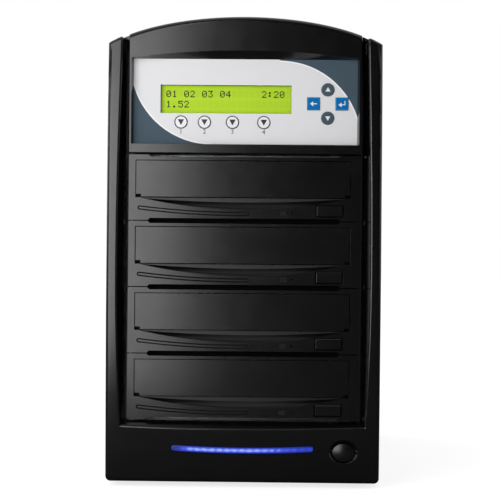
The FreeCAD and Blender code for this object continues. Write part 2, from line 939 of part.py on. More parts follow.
def key_bar(name, x, z, square, grow, start, length):
    """A round or square bar on a key's axis, larger than the cap by a given amount."""
    if square:
        half = s.key_square / 2 + grow
        return block(name, (x - half, x + half), (start, start + length), (z - half, z + half))
    return rod(name, s.key_radius + grow, (x, start, z), length)


def panel_screws():
    """Where the key board is screwed to the panel."""
    x = key_board_half - s.panel_boss_inset
    low = overlay_z + s.key_board_low + s.panel_boss_inset
    high = overlay_z + overlay_height - s.key_board_drop - s.panel_boss_inset
    return [(-x, low), (x, low), (-x, high), (x, high)]


def recess_outline():
    """The recess at the panel's face, with its arched upper edge."""
    y = float(panel_face - s.cut_past)
    half = float(overlay_half + s.recess_side_slope)
    low = float(overlay_z - s.recess_low_slope)
    high = float(overlay_z + overlay_height + s.recess_low_slope)
    middle = high + float(s.recess_arch)
    return [
        line(Vector(-half, y, low), Vector(half, y, low)),
        line(Vector(half, y, low), Vector(half, y, high)),
        arc(Vector(half, y, high), Vector(0, y, middle), Vector(-half, y, high)),
        line(Vector(-half, y, high), Vector(-half, y, low)),
    ]


def overlay_outline():
    """The overlay's edge at the foot of the recess."""
    y = float(overlay_front)
    half = float(overlay_half + s.fit_gap)
    low = float(overlay_z - s.fit_gap)
    high = float(overlay_z + overlay_height + s.fit_gap)
    points = [Vector(-half, y, low), Vector(half, y, low), Vector(half, y, high), Vector(-half, y, high)]
    return [line(first, last) for first, last in zip(points, points[1:] + points[:1])]


def control_panel():
    past = s.cut_past
    shape = arched_block(panel_face, frame_back)
    shape = shape.common(solid_box((-column_half, column_half), (panel_face, frame_back),
                                   (panel_z, arch_top + past)))
    face_y = float(panel_face)
    edges = [edge for edge in shape.Edges if abs(edge.CenterOfMass.y - face_y) < float(s.fit_gap)]
    top = [edge for edge in edges if edge.CenterOfMass.z > float(shoulder_z)]
    shape = shape.makeFillet(float(s.panel_top_round), top)
    edges = [edge for edge in shape.Edges if abs(edge.CenterOfMass.y - face_y) < float(s.fit_gap)
             and edge.CenterOfMass.z < float(shoulder_z)]
    shape = shape.makeFillet(float(s.panel_edge_round), edges)
    shape = shape.cut(ruled(recess_outline(), overlay_outline()))
    seat = overlay_half + s.fit_gap
    shape = shape.cut(solid_box((-seat, seat), (overlay_front, overlay_back),
                                (overlay_z - s.fit_gap, overlay_z + overlay_height + s.fit_gap)))
    hollow = column_half - s.panel_side
    hollow_top = overlay_z + overlay_height - s.hollow_above
    shape = shape.cut(solid_box((-hollow, hollow), (panel_floor_back, frame_back + past),
                                (panel_z + s.panel_side, hollow_top)))
    margin = s.window_margin
    shape = shape.cut(solid_box((-window_left - margin, window_right + margin),
                                (overlay_back - past, panel_floor_back + past),
                                (window_low - margin, window_high + margin)))
    for _, x, z, square in key_places():
        half = (s.key_square / 2 if square else s.key_radius) + s.slide_gap
        if square:
            hole = solid_box((x - half, x + half), (overlay_back - past, panel_floor_back + past),
                             (z - half, z + half))
        else:
            hole = solid_rod(half, (x, overlay_back - past, z), s.panel_floor + past * 2)
        shape = shape.cut(hole)
    for x, z in panel_screws():
        boss = solid_rod(s.panel_boss_radius, (x, panel_floor_back, z), key_board_face - panel_floor_back)
        hole = solid_rod(s.machine_radius + s.fit_gap,
                         (x, key_board_face - s.machine_length, z), s.machine_length + past)
        shape = shape.fuse(boss).cut(hole)
    return finished("control_panel", shaped("ControlPanel", shape))


def panel_overlay():
    sheet_block = block("OverlaySheet", (-overlay_half, overlay_half), (overlay_front, overlay_back),
                        (overlay_z, overlay_z + overlay_height))
    holes = [key_bar("OverlayHole", x, z, square, s.slide_gap, overlay_front - s.cut_past,
                     s.overlay_thick + s.cut_past * 2) for _, x, z, square in key_places()]
    return finished("panel_overlay", cut("PanelOverlay", sheet_block, *holes))


def display_module():
    left = key_board_half - s.panel_boss_inset - s.panel_boss_radius - s.slide_gap
    x = (-left, window_right + s.display_side)
    z = (display_low, window_high + s.display_over)
    case = block("DisplayCase", x, (panel_floor_back, key_board_face), z)
    view = block("DisplayView", (-window_left, window_right),
                 (panel_floor_back - s.cut_past, panel_floor_back + s.display_glass_deep),
                 (window_low, window_high))
    return finished("display_module", cut("DisplayModule", case, view))


def panel_key(name, x, z, square):
    cap_front = overlay_front - s.key_proud
    cap = key_bar("KeyCap", x, z, square, 0, cap_front, panel_floor_back - cap_front)
    flange = key_bar("KeyFlange", x, z, square, s.key_flange, panel_floor_back, s.key_flange_thick)
    stem_start = panel_floor_back + s.key_flange_thick
    stem_end = key_board_face - s.key_switch_high - s.key_travel - s.slide_gap
    stem = rod("KeyStem", s.key_stem_radius, (x, stem_start, z), stem_end - stem_start)
    return finished(name, fused("Key", cap, flange, stem))


def key_board():
    card = block("KeyCard", (-key_board_half, key_board_half),
                 (key_board_face, key_board_face + s.board_thick),
                 (overlay_z + s.key_board_low, overlay_z + overlay_height - s.key_board_drop))
    half = s.key_switch_side / 2
    switches = [block("KeySwitch", (x - half, x + half), (key_board_face - s.key_switch_high, key_board_face),
                      (z - half, z + half)) for _, x, z, _ in key_places()]
    holes = [rod("KeyCardHole", s.machine_radius + s.fit_gap, (x, key_board_face - s.cut_past, z),
                 s.board_thick + s.cut_past * 2) for x, z in panel_screws()]
    return finished("key_board", cut("KeyBoard", fused("KeyBoardBlank", card, *switches), *holes))


# Optical drives: each a steel shell behind a moulded bezel with a door, a disc tray that slides
# out through it, an eject button, and a deck with rails, spindle motor and laser sled.
door_centre = s.door_left + door_width / 2 - column_half
door_height = bezel_height - s.door_drop - s.door_rise
bezel_back = drive_face + s.bezel_thick
shell_half = column_half - s.shell_inset
shell_height = bezel_height - s.shell_rise * 2
shell_back = bezel_back + shell_depth
tray_low = bezel_height - s.tray_drop - s.tray_thick
deck_front = bezel_back + s.deck_start
eject_middle = column_half - s.eject_inset - s.eject_width / 2


def bezel_blank(z):
    """The bezel's outline: full height at both ears, cut back between them."""
    left = -column_half
    inner_left = left + s.ear_left
    inner_right = column_half - s.ear_right
    step = s.ear_step
    outline = [
        (left, 0),
        (inner_left, 0),
        (inner_left + step, step),
        (inner_right - step, step),
        (inner_right, 0),
        (column_half, 0),
        (column_half, bezel_height),
        (inner_right, bezel_height),
        (inner_right - step, bezel_height - step),
        (inner_left + step, bezel_height - step),
        (inner_left, bezel_height),
        (left, bezel_height),
    ]
    points = [at(x, drive_face, z + rise) for x, rise in outline]
    edges = [line(first, last) for first, last in zip(points, points[1:] + points[:1])]
    return extruded(edges, s.bezel_thick)


def scoop(z):
    """The finger scoop under the door: a lens that slopes in towards the door's low edge."""
    half = float(door_width / 2 - s.door_notch_width)
    middle_x = float(door_centre)
    chord = float(z + s.door_rise)
    sag = float(s.scoop_sag)
    lip = float(s.scoop_lip)

    def lens(y, drop):
        left = Vector(middle_x - half, y, chord - lip)
        right = Vector(middle_x + half, y, chord - lip)
        top_left = Vector(middle_x - half, y, chord + lip)
        top_right = Vector(middle_x + half, y, chord + lip)
        low = Vector(middle_x, y, chord - lip - drop)
        closing = [line(right, top_right), line(top_right, top_left), line(top_left, left)]
        return [arc(left, low, right)] + closing

    face_y = float(drive_face)
    deep = float(s.scoop_depth)
    return ruled(lens(face_y, sag), lens(face_y + deep, sag * scoop_floor_share))


def groove(z):
    """The thin outline of a long curved pill, pressed into the bezel's low left."""
    left = float(s.groove_left - column_half)
    right = float(column_half - s.groove_right)
    left_z = float(z + s.groove_left_rise)
    right_z = float(z + s.groove_right_rise)
    middle_x = (left + right) / 2
    middle_z = (left_z + right_z) / 2 - float(s.groove_sag)
    y = float(drive_face - s.cut_past)
    deep = s.cut_past + s.groove_deep

    def pill(half):
        points = [Vector(left, y, left_z), Vector(middle_x, y, middle_z), Vector(right, y, right_z)]
        circle = arc(*points).Curve
        centre = circle.Center
        radius = circle.Radius
        spokes = [(point - centre).normalize() for point in points]
        outer = [centre + spoke * (radius + half) for spoke in spokes]
        inner = [centre + spoke * (radius - half) for spoke in spokes]
        left_way = Vector(spokes[0].z, 0, -spokes[0].x)
        right_way = Vector(spokes[2].z, 0, -spokes[2].x)
        left_tip = points[0] + left_way * half * (-1 if left_way.x > 0 else 1)
        right_tip = points[2] + right_way * half * (1 if right_way.x > 0 else -1)
        edges = [arc(*outer), arc(outer[2], right_tip, inner[2]), arc(inner[2], inner[1], inner[0]),
                 arc(inner[0], left_tip, outer[0])]
        return extruded(edges, deep)

    outer_half = float(s.groove_width / 2)
    return pill(outer_half).cut(pill(outer_half - float(s.groove_line)))


def drive_bezel(index):
    z = drive_z(index)
    past = s.cut_past
    gap = s.slide_gap
    shape = bezel_blank(z)
    half = door_width / 2 + gap
    through = (drive_face - past, bezel_back + past)
    shape = shape.cut(solid_box((door_centre - half, door_centre + half), through,
                                (z + s.door_rise - gap, z + s.door_rise + door_height + gap)))
    shape = shape.cut(scoop(z))
    shape = shape.cut(groove(z))
    button_half = s.eject_width / 2 + gap
    shape = shape.cut(solid_box((eject_middle - button_half, eject_middle + button_half), through,
                                (z + s.eject_rise - gap, z + s.eject_rise + s.eject_height + gap)))
    marks_z = z + s.small_marks_rise
    lamp_x = column_half - s.lamp_window_inset
    lamp = (lamp_x, lamp_x + s.lamp_window_width)
    shape = shape.cut(solid_box(lamp, (drive_face - past, drive_face + s.groove_deep),
                                (marks_z - s.lamp_window_height / 2, marks_z + s.lamp_window_height / 2)))
    shape = shape.cut(solid_rod(s.pinhole_radius, (column_half - s.pinhole_inset, through[0], marks_z),
                                s.bezel_thick + past * 2))
    return finished(f"drive_{index + 1}_bezel", shaped(f"Drive{index + 1}Bezel", shape))


def drive_door(index):
    z = drive_z(index) + s.door_rise
    half = door_width / 2
    body = body_at(f"Drive{index + 1}Door", door_centre, drive_face, z)
    outline = Drawing(body, "DoorOutline", "XZ_Plane")
    outline.rectangle((-half, half), (0, door_height))
    pad(body, outline, "DoorPlate", s.door_thick, reverse=True)
    notches = Drawing(body, "DoorNotches", "XZ_Plane")
    notches.rectangle((-half, s.door_notch_width - half), (0, s.door_notch_height))
    notches.rectangle((half - s.door_notch_width, half), (0, s.door_notch_height))
    pocket(body, notches, "DoorCorners", s.door_thick)
    return finished(f"drive_{index + 1}_door", body)


def drive_tray(index):
    z = drive_z(index) + tray_low
    body = body_at(f"Drive{index + 1}Tray", door_centre, drive_face + s.door_thick, z)
    plate = Drawing(body, "TrayOutline", "XY_Plane")
    plate.rectangle((-tray_half, tray_half), (0, tray_depth))
    pad(body, plate, "TrayPlate", s.tray_thick)
    wide = Drawing(body, "DiscRecess", "XY_Plane", s.tray_thick)
    wide.circle((0, disc_centre_back), disc_radius)
    pocket(body, wide, "DiscPocket", s.disc_deep)
    small = Drawing(body, "SmallDiscRecess", "XY_Plane", s.tray_thick - s.disc_deep)
    small.circle((0, disc_centre_back), s.small_disc_radius)
    pocket(body, small, "SmallDiscPocket", s.small_disc_deep)
    slot = Drawing(body, "SpindleSlot", "XY_Plane", s.tray_thick)
    slot.rectangle((-s.tray_slot_half, s.tray_slot_half),
                   (disc_centre_back - s.tray_slot_half, disc_centre_back + s.tray_slot_back))
    pocket(body, slot, "SpindleOpening", s.tray_thick)
    return finished(f"drive_{index + 1}_tray", body)


def eject_button(index):
    z = drive_z(index) + s.eject_rise
    half = s.eject_width / 2
    cap = block("EjectCap", (eject_middle - half, eject_middle + half),
                (drive_face - s.eject_proud, bezel_back), (z, z + s.eject_height))
    bevel = doc.addObject("Part::Chamfer", "EjectBevel")
    bevel.Base = cap
    doc.recompute()
    face_y = float(drive_face - s.eject_proud)
    edges = [number for number, edge in enumerate(cap.Shape.Edges, 1)
             if abs(edge.CenterOfMass.y - face_y) < float(s.fit_gap)]
    wide = float(s.eject_bevel)
    bevel.Edges = [(number, wide if cap.Shape.Edges[number - 1].BoundBox.ZLength > wide else wide / 2,
                    wide / 2) for number in edges]
    wide_half = half + s.eject_flange
    flange = block("EjectFlange", (eject_middle - wide_half, eject_middle + wide_half),
                   (bezel_back, bezel_back + s.eject_flange_thick),
                   (z - s.eject_flange, z + s.eject_height + s.eject_flange))
    stem = rod("EjectStem", s.key_stem_radius,
               (eject_middle, bezel_back + s.eject_flange_thick, z + s.eject_height / 2), s.eject_stem_length)
    return finished(f"drive_{index + 1}_eject_button", fused("EjectButton", bevel, flange, stem))


def drive_screw_places(index):
    """Where a drive is screwed to the cage, seen from one side."""
    z = drive_z(index) + s.slide_gap + s.drive_screw_rise
    return [(bezel_back + s.drive_screw_front, z), (bezel_back + s.drive_screw_back, z)]


def drive_shell(index):
    low = drive_z(index) + s.shell_rise
    high = low + shell_height
    sheet_thick = s.shell_sheet
    outer = block("ShellOuter", (-shell_half, shell_half), (bezel_back, shell_back), (low, high))
    inner = block("ShellInner", (sheet_thick - shell_half, shell_half - sheet_thick),
                  (bezel_back - s.cut_past, shell_back - sheet_thick),
                  (low + sheet_thick, high - sheet_thick))
    slot_half = s.rear_slot_width / 2
    slot = block("ShellSlot", (-slot_half, slot_half), (shell_back - s.cut_past * 2, shell_back + s.cut_past),
                 (low + sheet_thick, low + sheet_thick + s.rear_slot_height))
    holes = [rod("ShellHole", s.machine_radius + s.fit_gap, (-shell_half - s.cut_past, y, z),
                 shell_half * 2 + s.cut_past * 2, TO_RIGHT) for y, z in drive_screw_places(index)]
    return finished(f"drive_{index + 1}_shell", cut("DriveShell", outer, inner, slot, *holes))


def drive_mechanism(index):
    low = drive_z(index) + s.shell_rise + s.shell_sheet
    tray_under = drive_z(index) + tray_low
    tray_top = tray_under + s.tray_thick
    rail_out = tray_half + s.slide_gap + s.rail_wall
    deck_back = shell_back - s.shell_sheet - s.deck_end_gap
    deck_y = (deck_front, deck_back)
    deck_top = low + s.deck_thick
    parts = [block("Deck", (door_centre - rail_out, door_centre + rail_out), deck_y, (low, deck_top))]
    for side in (1, -1):
        ledge = sorted((door_centre + side * (tray_half - s.rail_ledge), door_centre + side * rail_out),
                       key=float)
        wall = sorted((door_centre + side * (tray_half + s.slide_gap), door_centre + side * rail_out),
                      key=float)
        parts.append(block("RailLedge", ledge, deck_y, (low, tray_under - s.slide_gap)))
        parts.append(block("RailWall", wall, deck_y, (low, tray_top + s.rail_over)))
    spindle_y = drive_face + s.door_thick + disc_centre_back
    motor_top = deck_top + s.spindle_motor_high
    parts.append(rod("SpindleMotor", s.spindle_motor_radius, (door_centre, spindle_y, deck_top),
                     s.spindle_motor_high, UP))
    parts.append(rod("SpindleHub", s.spindle_hub_radius, (door_centre, spindle_y, motor_top),
                     tray_under - s.spindle_drop - motor_top, UP))
    sled_y = spindle_y + s.sled_back
    sled_half = s.sled_width / 2
    rod_z = deck_top + s.sled_lift + s.sled_high / 2
    parts.append(block("Sled", (door_centre - s.sled_rod_half - s.sled_rod_radius,
                                door_centre + s.sled_rod_half + s.sled_rod_radius),
                       (sled_y - s.sled_rod_radius * 2, sled_y + s.sled_rod_radius * 2),
                       (rod_z - s.sled_rod_radius, rod_z + s.sled_rod_radius)))
    parts.append(block("SledBody", (door_centre - sled_half, door_centre + sled_half),
                       (sled_y - s.sled_length / 2, sled_y + s.sled_length / 2),
                       (deck_top + s.sled_lift, deck_top + s.sled_lift + s.sled_high)))
    parts.append(rod("Lens", s.lens_radius, (door_centre, sled_y, deck_top + s.sled_lift + s.sled_high),
                     s.lens_high, UP))
    for side in (1, -1):
        rod_x = door_centre + side * s.sled_rod_half
        rod_start = spindle_y - s.sled_rod_radius
        parts.append(rod("SledRod", s.sled_rod_radius, (rod_x, rod_start, rod_z), s.sled_rod_length))
        for post_y in (rod_start, rod_start + s.sled_rod_length - s.sled_rod_radius * 2):
            parts.append(block("SledPost", (rod_x - s.sled_rod_radius, rod_x + s.sled_rod_radius),
                               (post_y, post_y + s.sled_rod_radius * 2),
                               (deck_top, rod_z + s.sled_rod_radius)))
    plug_half = s.plug_width / 2
    parts.append(block("DrivePlug", (-plug_half, plug_half), (deck_back - s.plug_depth, shell_back),
                       (deck_top - s.deck_thick / 2, deck_top + s.plug_height - s.deck_thick)))
    return finished(f"drive_{index + 1}_mechanism", fused("Mechanism", *parts))


# Case: a bent chassis of floor and front wall, a rear panel, and a cover wrapped over the top and
# both sides with lips screwed to the rear panel. All of it is sheet steel.
def cover_screws():
    """Where the cover's lips are screwed to the rear panel."""
    x = case_half - s.cover_screw_inset
    low = floor_z + s.cover_screw_end
    high = case_top - s.cover_screw_end
    return [(side * x, z) for side in (-1, 1) for z in (low, (low + high) / 2, high)]


def supply_screws():
    """Where the power supply is screwed to the rear panel."""
    x = supply_half - s.supply_screw_inset_side
    low = case_floor + s.supply_screw_inset_end
    high = supply_top - s.supply_screw_inset_end
    return [(side * x, z) for side in (-1, 1) for z in (low, high)]


def chassis():
    sheet_thick = s.case_sheet
    top = case_top - sheet_thick
    floor_y = (frame_back, rear_inside)
    flange_z = (floor_z, floor_z + s.floor_flange)
    half = case_inner_half
    parts = [
        block("FloorSheet", (-half, half), floor_y, (floor_z, case_floor)),
        block("FrontSheet", (-half, half), (frame_back, frame_back + sheet_thick), (floor_z, top)),
        block("LeftFlange", (-half, sheet_thick - half), floor_y, flange_z),
        block("RightFlange", (half - sheet_thick, half), floor_y, flange_z),
    ]
    past = s.cut_past
    wall_y = (frame_back - past, frame_back + sheet_thick + past)
    opening = shell_half + s.cage_gap
    panel_half = column_half - s.panel_side * 2
    holes = [
        block("DriveOpening", (-opening, opening), wall_y, (stack_z, panel_z - s.bezel_gap)),
        block("PanelOpening", (-panel_half, panel_half), wall_y,
              (panel_z + s.panel_side * 2, overlay_z + overlay_height - s.panel_side * 2)),
        block("ChinOpening", (-s.chin_cable_half, s.chin_cable_half), wall_y,
              (floor_z + s.chin_cable_low, floor_z + s.chin_cable_high)),
    ]
    return finished("chassis", cut("Chassis", fused("ChassisBlank", *parts), *holes))


def rear_panel():
    half = case_inner_half
    body = body_at("RearPanel", 0, rear_panel_face, 0)
    outline = Drawing(body, "RearOutline", "XZ_Plane")
    outline.rectangle((-half, half), (case_floor, case_top - s.case_sheet))
    pad(body, outline, "RearSheet", s.case_sheet)
    holes = Drawing(body, "RearHoles", "XZ_Plane")
    aperture = supply_half - s.aperture_side
    holes.rectangle((-aperture, aperture),
                    (case_floor + s.aperture_inset, supply_top - s.aperture_inset))
    holes.circle((0, case_fan_z), s.fan_bore_radius)
    for side in (-1, 1):
        for rise in (-1, 1):
            holes.circle((side * s.fan_hole_half, case_fan_z + rise * s.fan_hole_half),
                         s.fan_screw_radius + s.fit_gap)
    for x, z in cover_screws() + supply_screws():
        holes.circle((x, z), s.case_screw_radius + s.fit_gap)
    low = case_top - s.vent_drop - s.vent_slot_height / 2
    for index in range(VENT_SLOTS):
        x = s.vent_pitch * (index - (VENT_SLOTS - 1) / 2)
        slot_half = s.vent_slot_width / 2
        holes.rectangle((x - slot_half, x + slot_half), (low, low + s.vent_slot_height))
    pocket(body, holes, "RearCuts", s.case_sheet, reverse=True)
    return finished("rear_panel", body)


def wrap_cover():
    sheet_thick = s.case_sheet
    half = case_half
    body = body_at("WrapCover", 0, frame_back, 0)
    outline = Drawing(body, "CoverOutline", "XZ_Plane")
    outline.rectangle((-half, half), (floor_z, case_top))
    pad(body, outline, "CoverBlock", rear_face - frame_back, reverse=True)
    hollow = Drawing(body, "CoverHollow", "XZ_Plane")
    hollow.rectangle((sheet_thick - half, half - sheet_thick), (floor_z - s.cut_past, case_top - sheet_thick))
    pocket(body, hollow, "CoverInside", rear_panel_face - frame_back)
    rear = Drawing(body, "CoverRear", "XZ_Plane")
    lip = s.rear_lip
    rear.rectangle((lip - half, half - lip), (floor_z - s.cut_past, case_top - lip))
    for x, z in cover_screws():
        rear.circle((x, z), s.case_screw_radius + s.fit_gap)
    pocket(body, rear, "CoverLips", rear_face - frame_back)
    return finished("wrap_cover", body)


def rubber_feet():
    x = half_width - s.foot_inset_side
    front_y = frame_back + s.foot_inset_end
    back_y = rear_inside - s.foot_inset_end
    feet = [rod("Foot", s.foot_radius, (side * x, y, 0), s.foot_height, UP)
            for side in (-1, 1) for y in (front_y, back_y)]
    return finished("rubber_feet", group("RubberFeet", feet))


# Drive cage: two side plates on out-turned feet, a shelf under the lowest drive and a top plate
# with standoffs for the controller board.
cage_inner = shell_half + s.cage_gap
cage_outer = cage_inner + s.cage_sheet
cage_front = frame_back + s.case_sheet
cage_back = shell_back + s.cage_past_drive
cage_shelf = stack_z + s.slide_gap
cage_top = panel_z - s.bezel_gap / 2 + s.cage_sheet
controller_half = cage_outer - s.controller_inset
controller_front = cage_front + s.controller_start
controller_z = cage_top + s.standoff_height
socket_row = (controller_half - s.socket_end_margin) * 2 - s.socket_width
socket_pitch = socket_row / (CONTROLLER_SOCKETS - 1)


def controller_holes():
    """Where the controller board stands on the cage."""
    x = controller_half - s.controller_hole_inset
    near = controller_front + s.controller_hole_inset
    far = controller_front + s.controller_depth - s.controller_hole_inset
    return [(-x, near), (x, near), (-x, far), (x, far)]


def drive_cage():
    sheet_thick = s.cage_sheet
    long_y = (cage_front, cage_back)
    parts = [
        block("CageShelf", (-cage_outer, cage_outer), long_y, (cage_shelf - sheet_thick, cage_shelf)),
        block("CageTop", (-cage_outer, cage_outer), long_y, (cage_top - sheet_thick, cage_top)),
    ]
    for side in (1, -1):
        plate = sorted((side * cage_inner, side * cage_outer), key=float)
        foot = sorted((side * cage_inner, side * (cage_outer + s.cage_foot)), key=float)
        parts.append(block("CageSide", plate, long_y, (case_floor, cage_top)))
        parts.append(block("CageFoot", foot, long_y, (case_floor, case_floor + sheet_thick)))
    for x, y in controller_holes():
        parts.append(rod("Standoff", s.standoff_radius, (x, y, cage_top), s.standoff_height, UP))
    holes = []
    for index in range(DRIVES):
        for y, z in drive_screw_places(index):
            holes.append(rod("CageHole", s.machine_radius + s.fit_gap, (-cage_outer - s.cut_past, y, z),
                             cage_outer * 2 + s.cut_past * 2, TO_RIGHT))
    for x, y in controller_holes():
        holes.append(rod("StandoffHole", s.machine_radius + s.fit_gap,
                         (x, y, controller_z - s.machine_length), s.machine_length + s.cut_past, UP))
    return finished("drive_cage", cut("DriveCage", fused("CageBlank", *parts), *holes))


def controller_board():
    card_top = controller_z + s.board_thick
    back = controller_front + s.controller_depth
    parts = [block("ControllerCard", (-controller_half, controller_half),
                   (controller_front, back), (controller_z, card_top))]
    chip_half = s.chip_side / 2
    chip_y = controller_front + s.chip_back
    parts.append(block("MainChip", (-chip_half, chip_half), (chip_y - chip_half, chip_y + chip_half),
                       (card_top, card_top + s.chip_high)))
    for side in (1, -1):
        near = side * (chip_half + s.memory_gap)
        memory = sorted((near, near + side * s.memory_side), key=float)
        parts.append(block("MemoryChip", memory, (chip_y - chip_half, chip_y + chip_half),
                           (card_top, card_top + s.chip_high / 2)))
    for index in range(CONTROLLER_SOCKETS):
        x = socket_pitch * (index - (CONTROLLER_SOCKETS - 1) / 2)
        parts.append(block("DataSocket", (x - s.socket_width / 2, x + s.socket_width / 2),
                           (back - s.socket_depth, back), (card_top, card_top + s.socket_high)))
    holes = [rod("ControllerHole", s.machine_radius + s.fit_gap, (x, y, controller_z - s.cut_past),
                 s.board_thick + s.cut_past * 2, UP) for x, y in controller_holes()]
    return finished("controller_board", cut("ControllerBoard", fused("ControllerBlank", *parts), *holes))


# Screws, each kind in one node: hexagon washer-head screws at the rear, small pan-head screws in
# the drives and boards, and coarse screws in the fans.
def case_screws():
    screws = []
    for seat, places in ((rear_face, cover_screws()), (rear_panel_face, supply_screws())):
        for x, z in places:
            head = rod("CaseScrewHead", s.case_screw_head_radius, (x, seat, z), s.case_screw_head)
            shank = rod("CaseScrewShank", s.case_screw_radius, (x, seat - s.case_screw_length, z),
                        s.case_screw_length)
            screws.append(fused("CaseScrew", head, shank))
    return finished("case_screws", group("CaseScrews", screws))


def machine_screws():
    screws = []
    reach = s.cage_sheet + s.cage_gap + s.shell_sheet
    for index in range(DRIVES):
        for y, z in drive_screw_places(index):
            for side in (1, -1):
                head_x = sorted((side * cage_outer, side * (cage_outer + s.machine_head)), key=float)
                shank_x = sorted((side * cage_outer, side * (cage_outer - reach)), key=float)
                head = rod("DriveScrewHead", s.machine_head_radius, (head_x[0], y, z),
                           s.machine_head, TO_RIGHT)
                shank = rod("DriveScrewShank", s.machine_radius, (shank_x[0], y, z), reach, TO_RIGHT)
                screws.append(fused("DriveScrew", head, shank))
    boards = [(key_board_face + s.board_thick, panel_screws()),
              (front_board_face + s.board_thick, front_board_screws())]
    for seat, places in boards:
        for x, z in places:
            head = rod("BoardScrewHead", s.machine_head_radius, (x, seat, z), s.machine_head)
            shank = rod("BoardScrewShank", s.machine_radius, (x, seat - s.machine_length, z),
                        s.machine_length)
            screws.append(fused("BoardScrew", head, shank))
    seat = controller_z + s.board_thick
    for x, y in controller_holes():
        head = rod("ControllerScrewHead", s.machine_head_radius, (x, y, seat), s.machine_head, UP)
        shank = rod("ControllerScrewShank", s.machine_radius, (x, y, seat - s.machine_length),
                    s.machine_length, UP)
        screws.append(fused("ControllerScrew", head, shank))
    return finished("machine_screws", group("MachineScrews", screws))


def fan_corners(x, z):
    """The four screw places of a fan about its axis."""
    return [(x + side * s.fan_hole_half, z + rise * s.fan_hole_half) for side in (-1, 1) for rise in (-1, 1)]


def fan_screws():
    screws = []
    case_seat = rear_panel_face + s.guard_wire
    for x, z in fan_corners(0, case_fan_z):
        head = rod("FanScrewHead", s.fan_screw_head_radius, (x, case_seat, z), s.fan_screw_head)
        shank = rod("FanScrewShank", s.fan_screw_radius, (x, case_seat - s.fan_screw_length, z),
                    s.fan_screw_length)
        screws.append(fused("FanScrew", head, shank))
    return finished("fan_screws", group("FanScrews", screws))


# Fans: a square frame with a motor mount on struts and a bearing tube, and a rotor with a hub cup,
# a shaft in the tube and pitched blades.
def fan_frame(node, x, z, back_y):
    half = s.fan_side / 2
    start = back_y - s.fan_thick
    past = s.cut_past
    housing = block("FanHousing", (x - half, x + half), (start, back_y), (z - half, z + half))
    tools = [rod("FanBore", s.fan_bore_radius, (x, start - past, z), s.fan_thick + past * 2)]
    for corner_x, corner_z in fan_corners(x, z):
        tools.append(rod("FanCornerHole", s.fan_screw_radius + s.fit_gap, (corner_x, start - past, corner_z),
                         s.fan_thick + past * 2))
    opened = cut("FanShroud", housing, *tools)
    mount_y = back_y - s.fan_mount_thick
    strut = s.fan_strut_width / 2
    mount = fused("FanMotor",
                  rod("FanMount", s.fan_mount_radius, (x, mount_y, z), s.fan_mount_thick),
                  block("FanStrutLevel", (x - half + strut, x + half - strut), (mount_y, back_y),
                        (z - strut, z + strut)),
                  block("FanStrutUpright", (x - strut, x + strut), (mount_y, back_y),
                        (z - half + strut, z + half - strut)),
                  rod("FanTube", s.fan_tube_radius, (x, mount_y - s.fan_tube_length, z), s.fan_tube_length))
    bore = rod("FanTubeBore", s.fan_shaft_radius + s.fit_gap, (x, mount_y - s.fan_tube_length - past, z),
               s.fan_tube_length + past)
    return finished(node, fused("FanFrame", opened, cut("FanCarrier", mount, bore)))


def fan_rotor(node, x, z, back_y):
    start = float(back_y - s.fan_thick + s.fan_face_gap)
    hub_end = float(back_y - s.fan_mount_thick - s.fan_face_gap)
    wall = float(s.fan_hub_wall)
    x = float(x)
    z = float(z)
    radius = float(s.fan_hub_radius)
    hub = Part.makeCylinder(radius, hub_end - start, Vector(x, start, z), Vector(0, 1, 0))
    cup = Part.makeCylinder(radius - wall, hub_end - start, Vector(x, start + wall, z), Vector(0, 1, 0))
    tube_start = float(back_y - s.fan_mount_thick - s.fan_tube_length)
    shaft_end = tube_start + float(s.fan_tube_length) - float(s.fan_face_gap)
    shaft = Part.makeCylinder(float(s.fan_shaft_radius), shaft_end - start,
                              Vector(x, start, z), Vector(0, 1, 0))
    rotor = hub.cut(cup).fuse(shaft)
    chord = float(s.blade_chord)
    thick = float(s.blade_thick)
    inner = radius - wall * blade_root_share
    reach = float(s.blade_tip_radius) - inner
    middle_y = (start + hub_end) / 2
    for index in range(FAN_BLADES):
        blade = Part.makeBox(thick, chord, reach, Vector(-thick / 2, -chord / 2, 0))
        blade.rotate(Vector(0, 0, 0), Vector(0, 0, 1), BLADE_PITCH_DEGREES)
        blade.translate(Vector(0, 0, inner))
        blade.rotate(Vector(0, 0, 0), Vector(0, 1, 0), 360 / FAN_BLADES * index)
        blade.translate(Vector(x, middle_y, z))
        rotor = rotor.fuse(blade)
    return finished(node, shaped("FanRotor", rotor))


def fan_guard():
    z = case_fan_z
    wire = s.guard_wire / 2
    y = rear_panel_face + wire
    parts = [ring("GuardRing", s.guard_ring_radius + s.guard_ring_step * index, wire, (0, y, z))
             for index in range(GUARD_RINGS)]
    reach = s.fan_hole_half * math.sqrt(2)
    for quarter in range(4):
        spoke = doc.addObject("Part::Cylinder", "GuardSpoke")
        spoke.setExpression("Radius", written(wire))
        spoke.setExpression("Height", written(reach - s.fan_screw_radius - s.guard_wire / 2))
        turn = Rotation(Vector(0, 1, 0), 45 + 90 * quarter)
        parts.append(place(spoke, 0, y, z, turn))
    for x, eye_z in fan_corners(0, z):
        parts.append(ring("GuardEye", s.fan_screw_radius + s.guard_wire, wire, (x, y, eye_z)))
    return finished("case_fan_guard", fused("FanGuard", *parts))


# Power supply: a steel box with a pressed grille over its fan, vents in its inner end, a mains
# inlet and a rocker switch.
supply_fan_z = case_floor + supply_height / 2


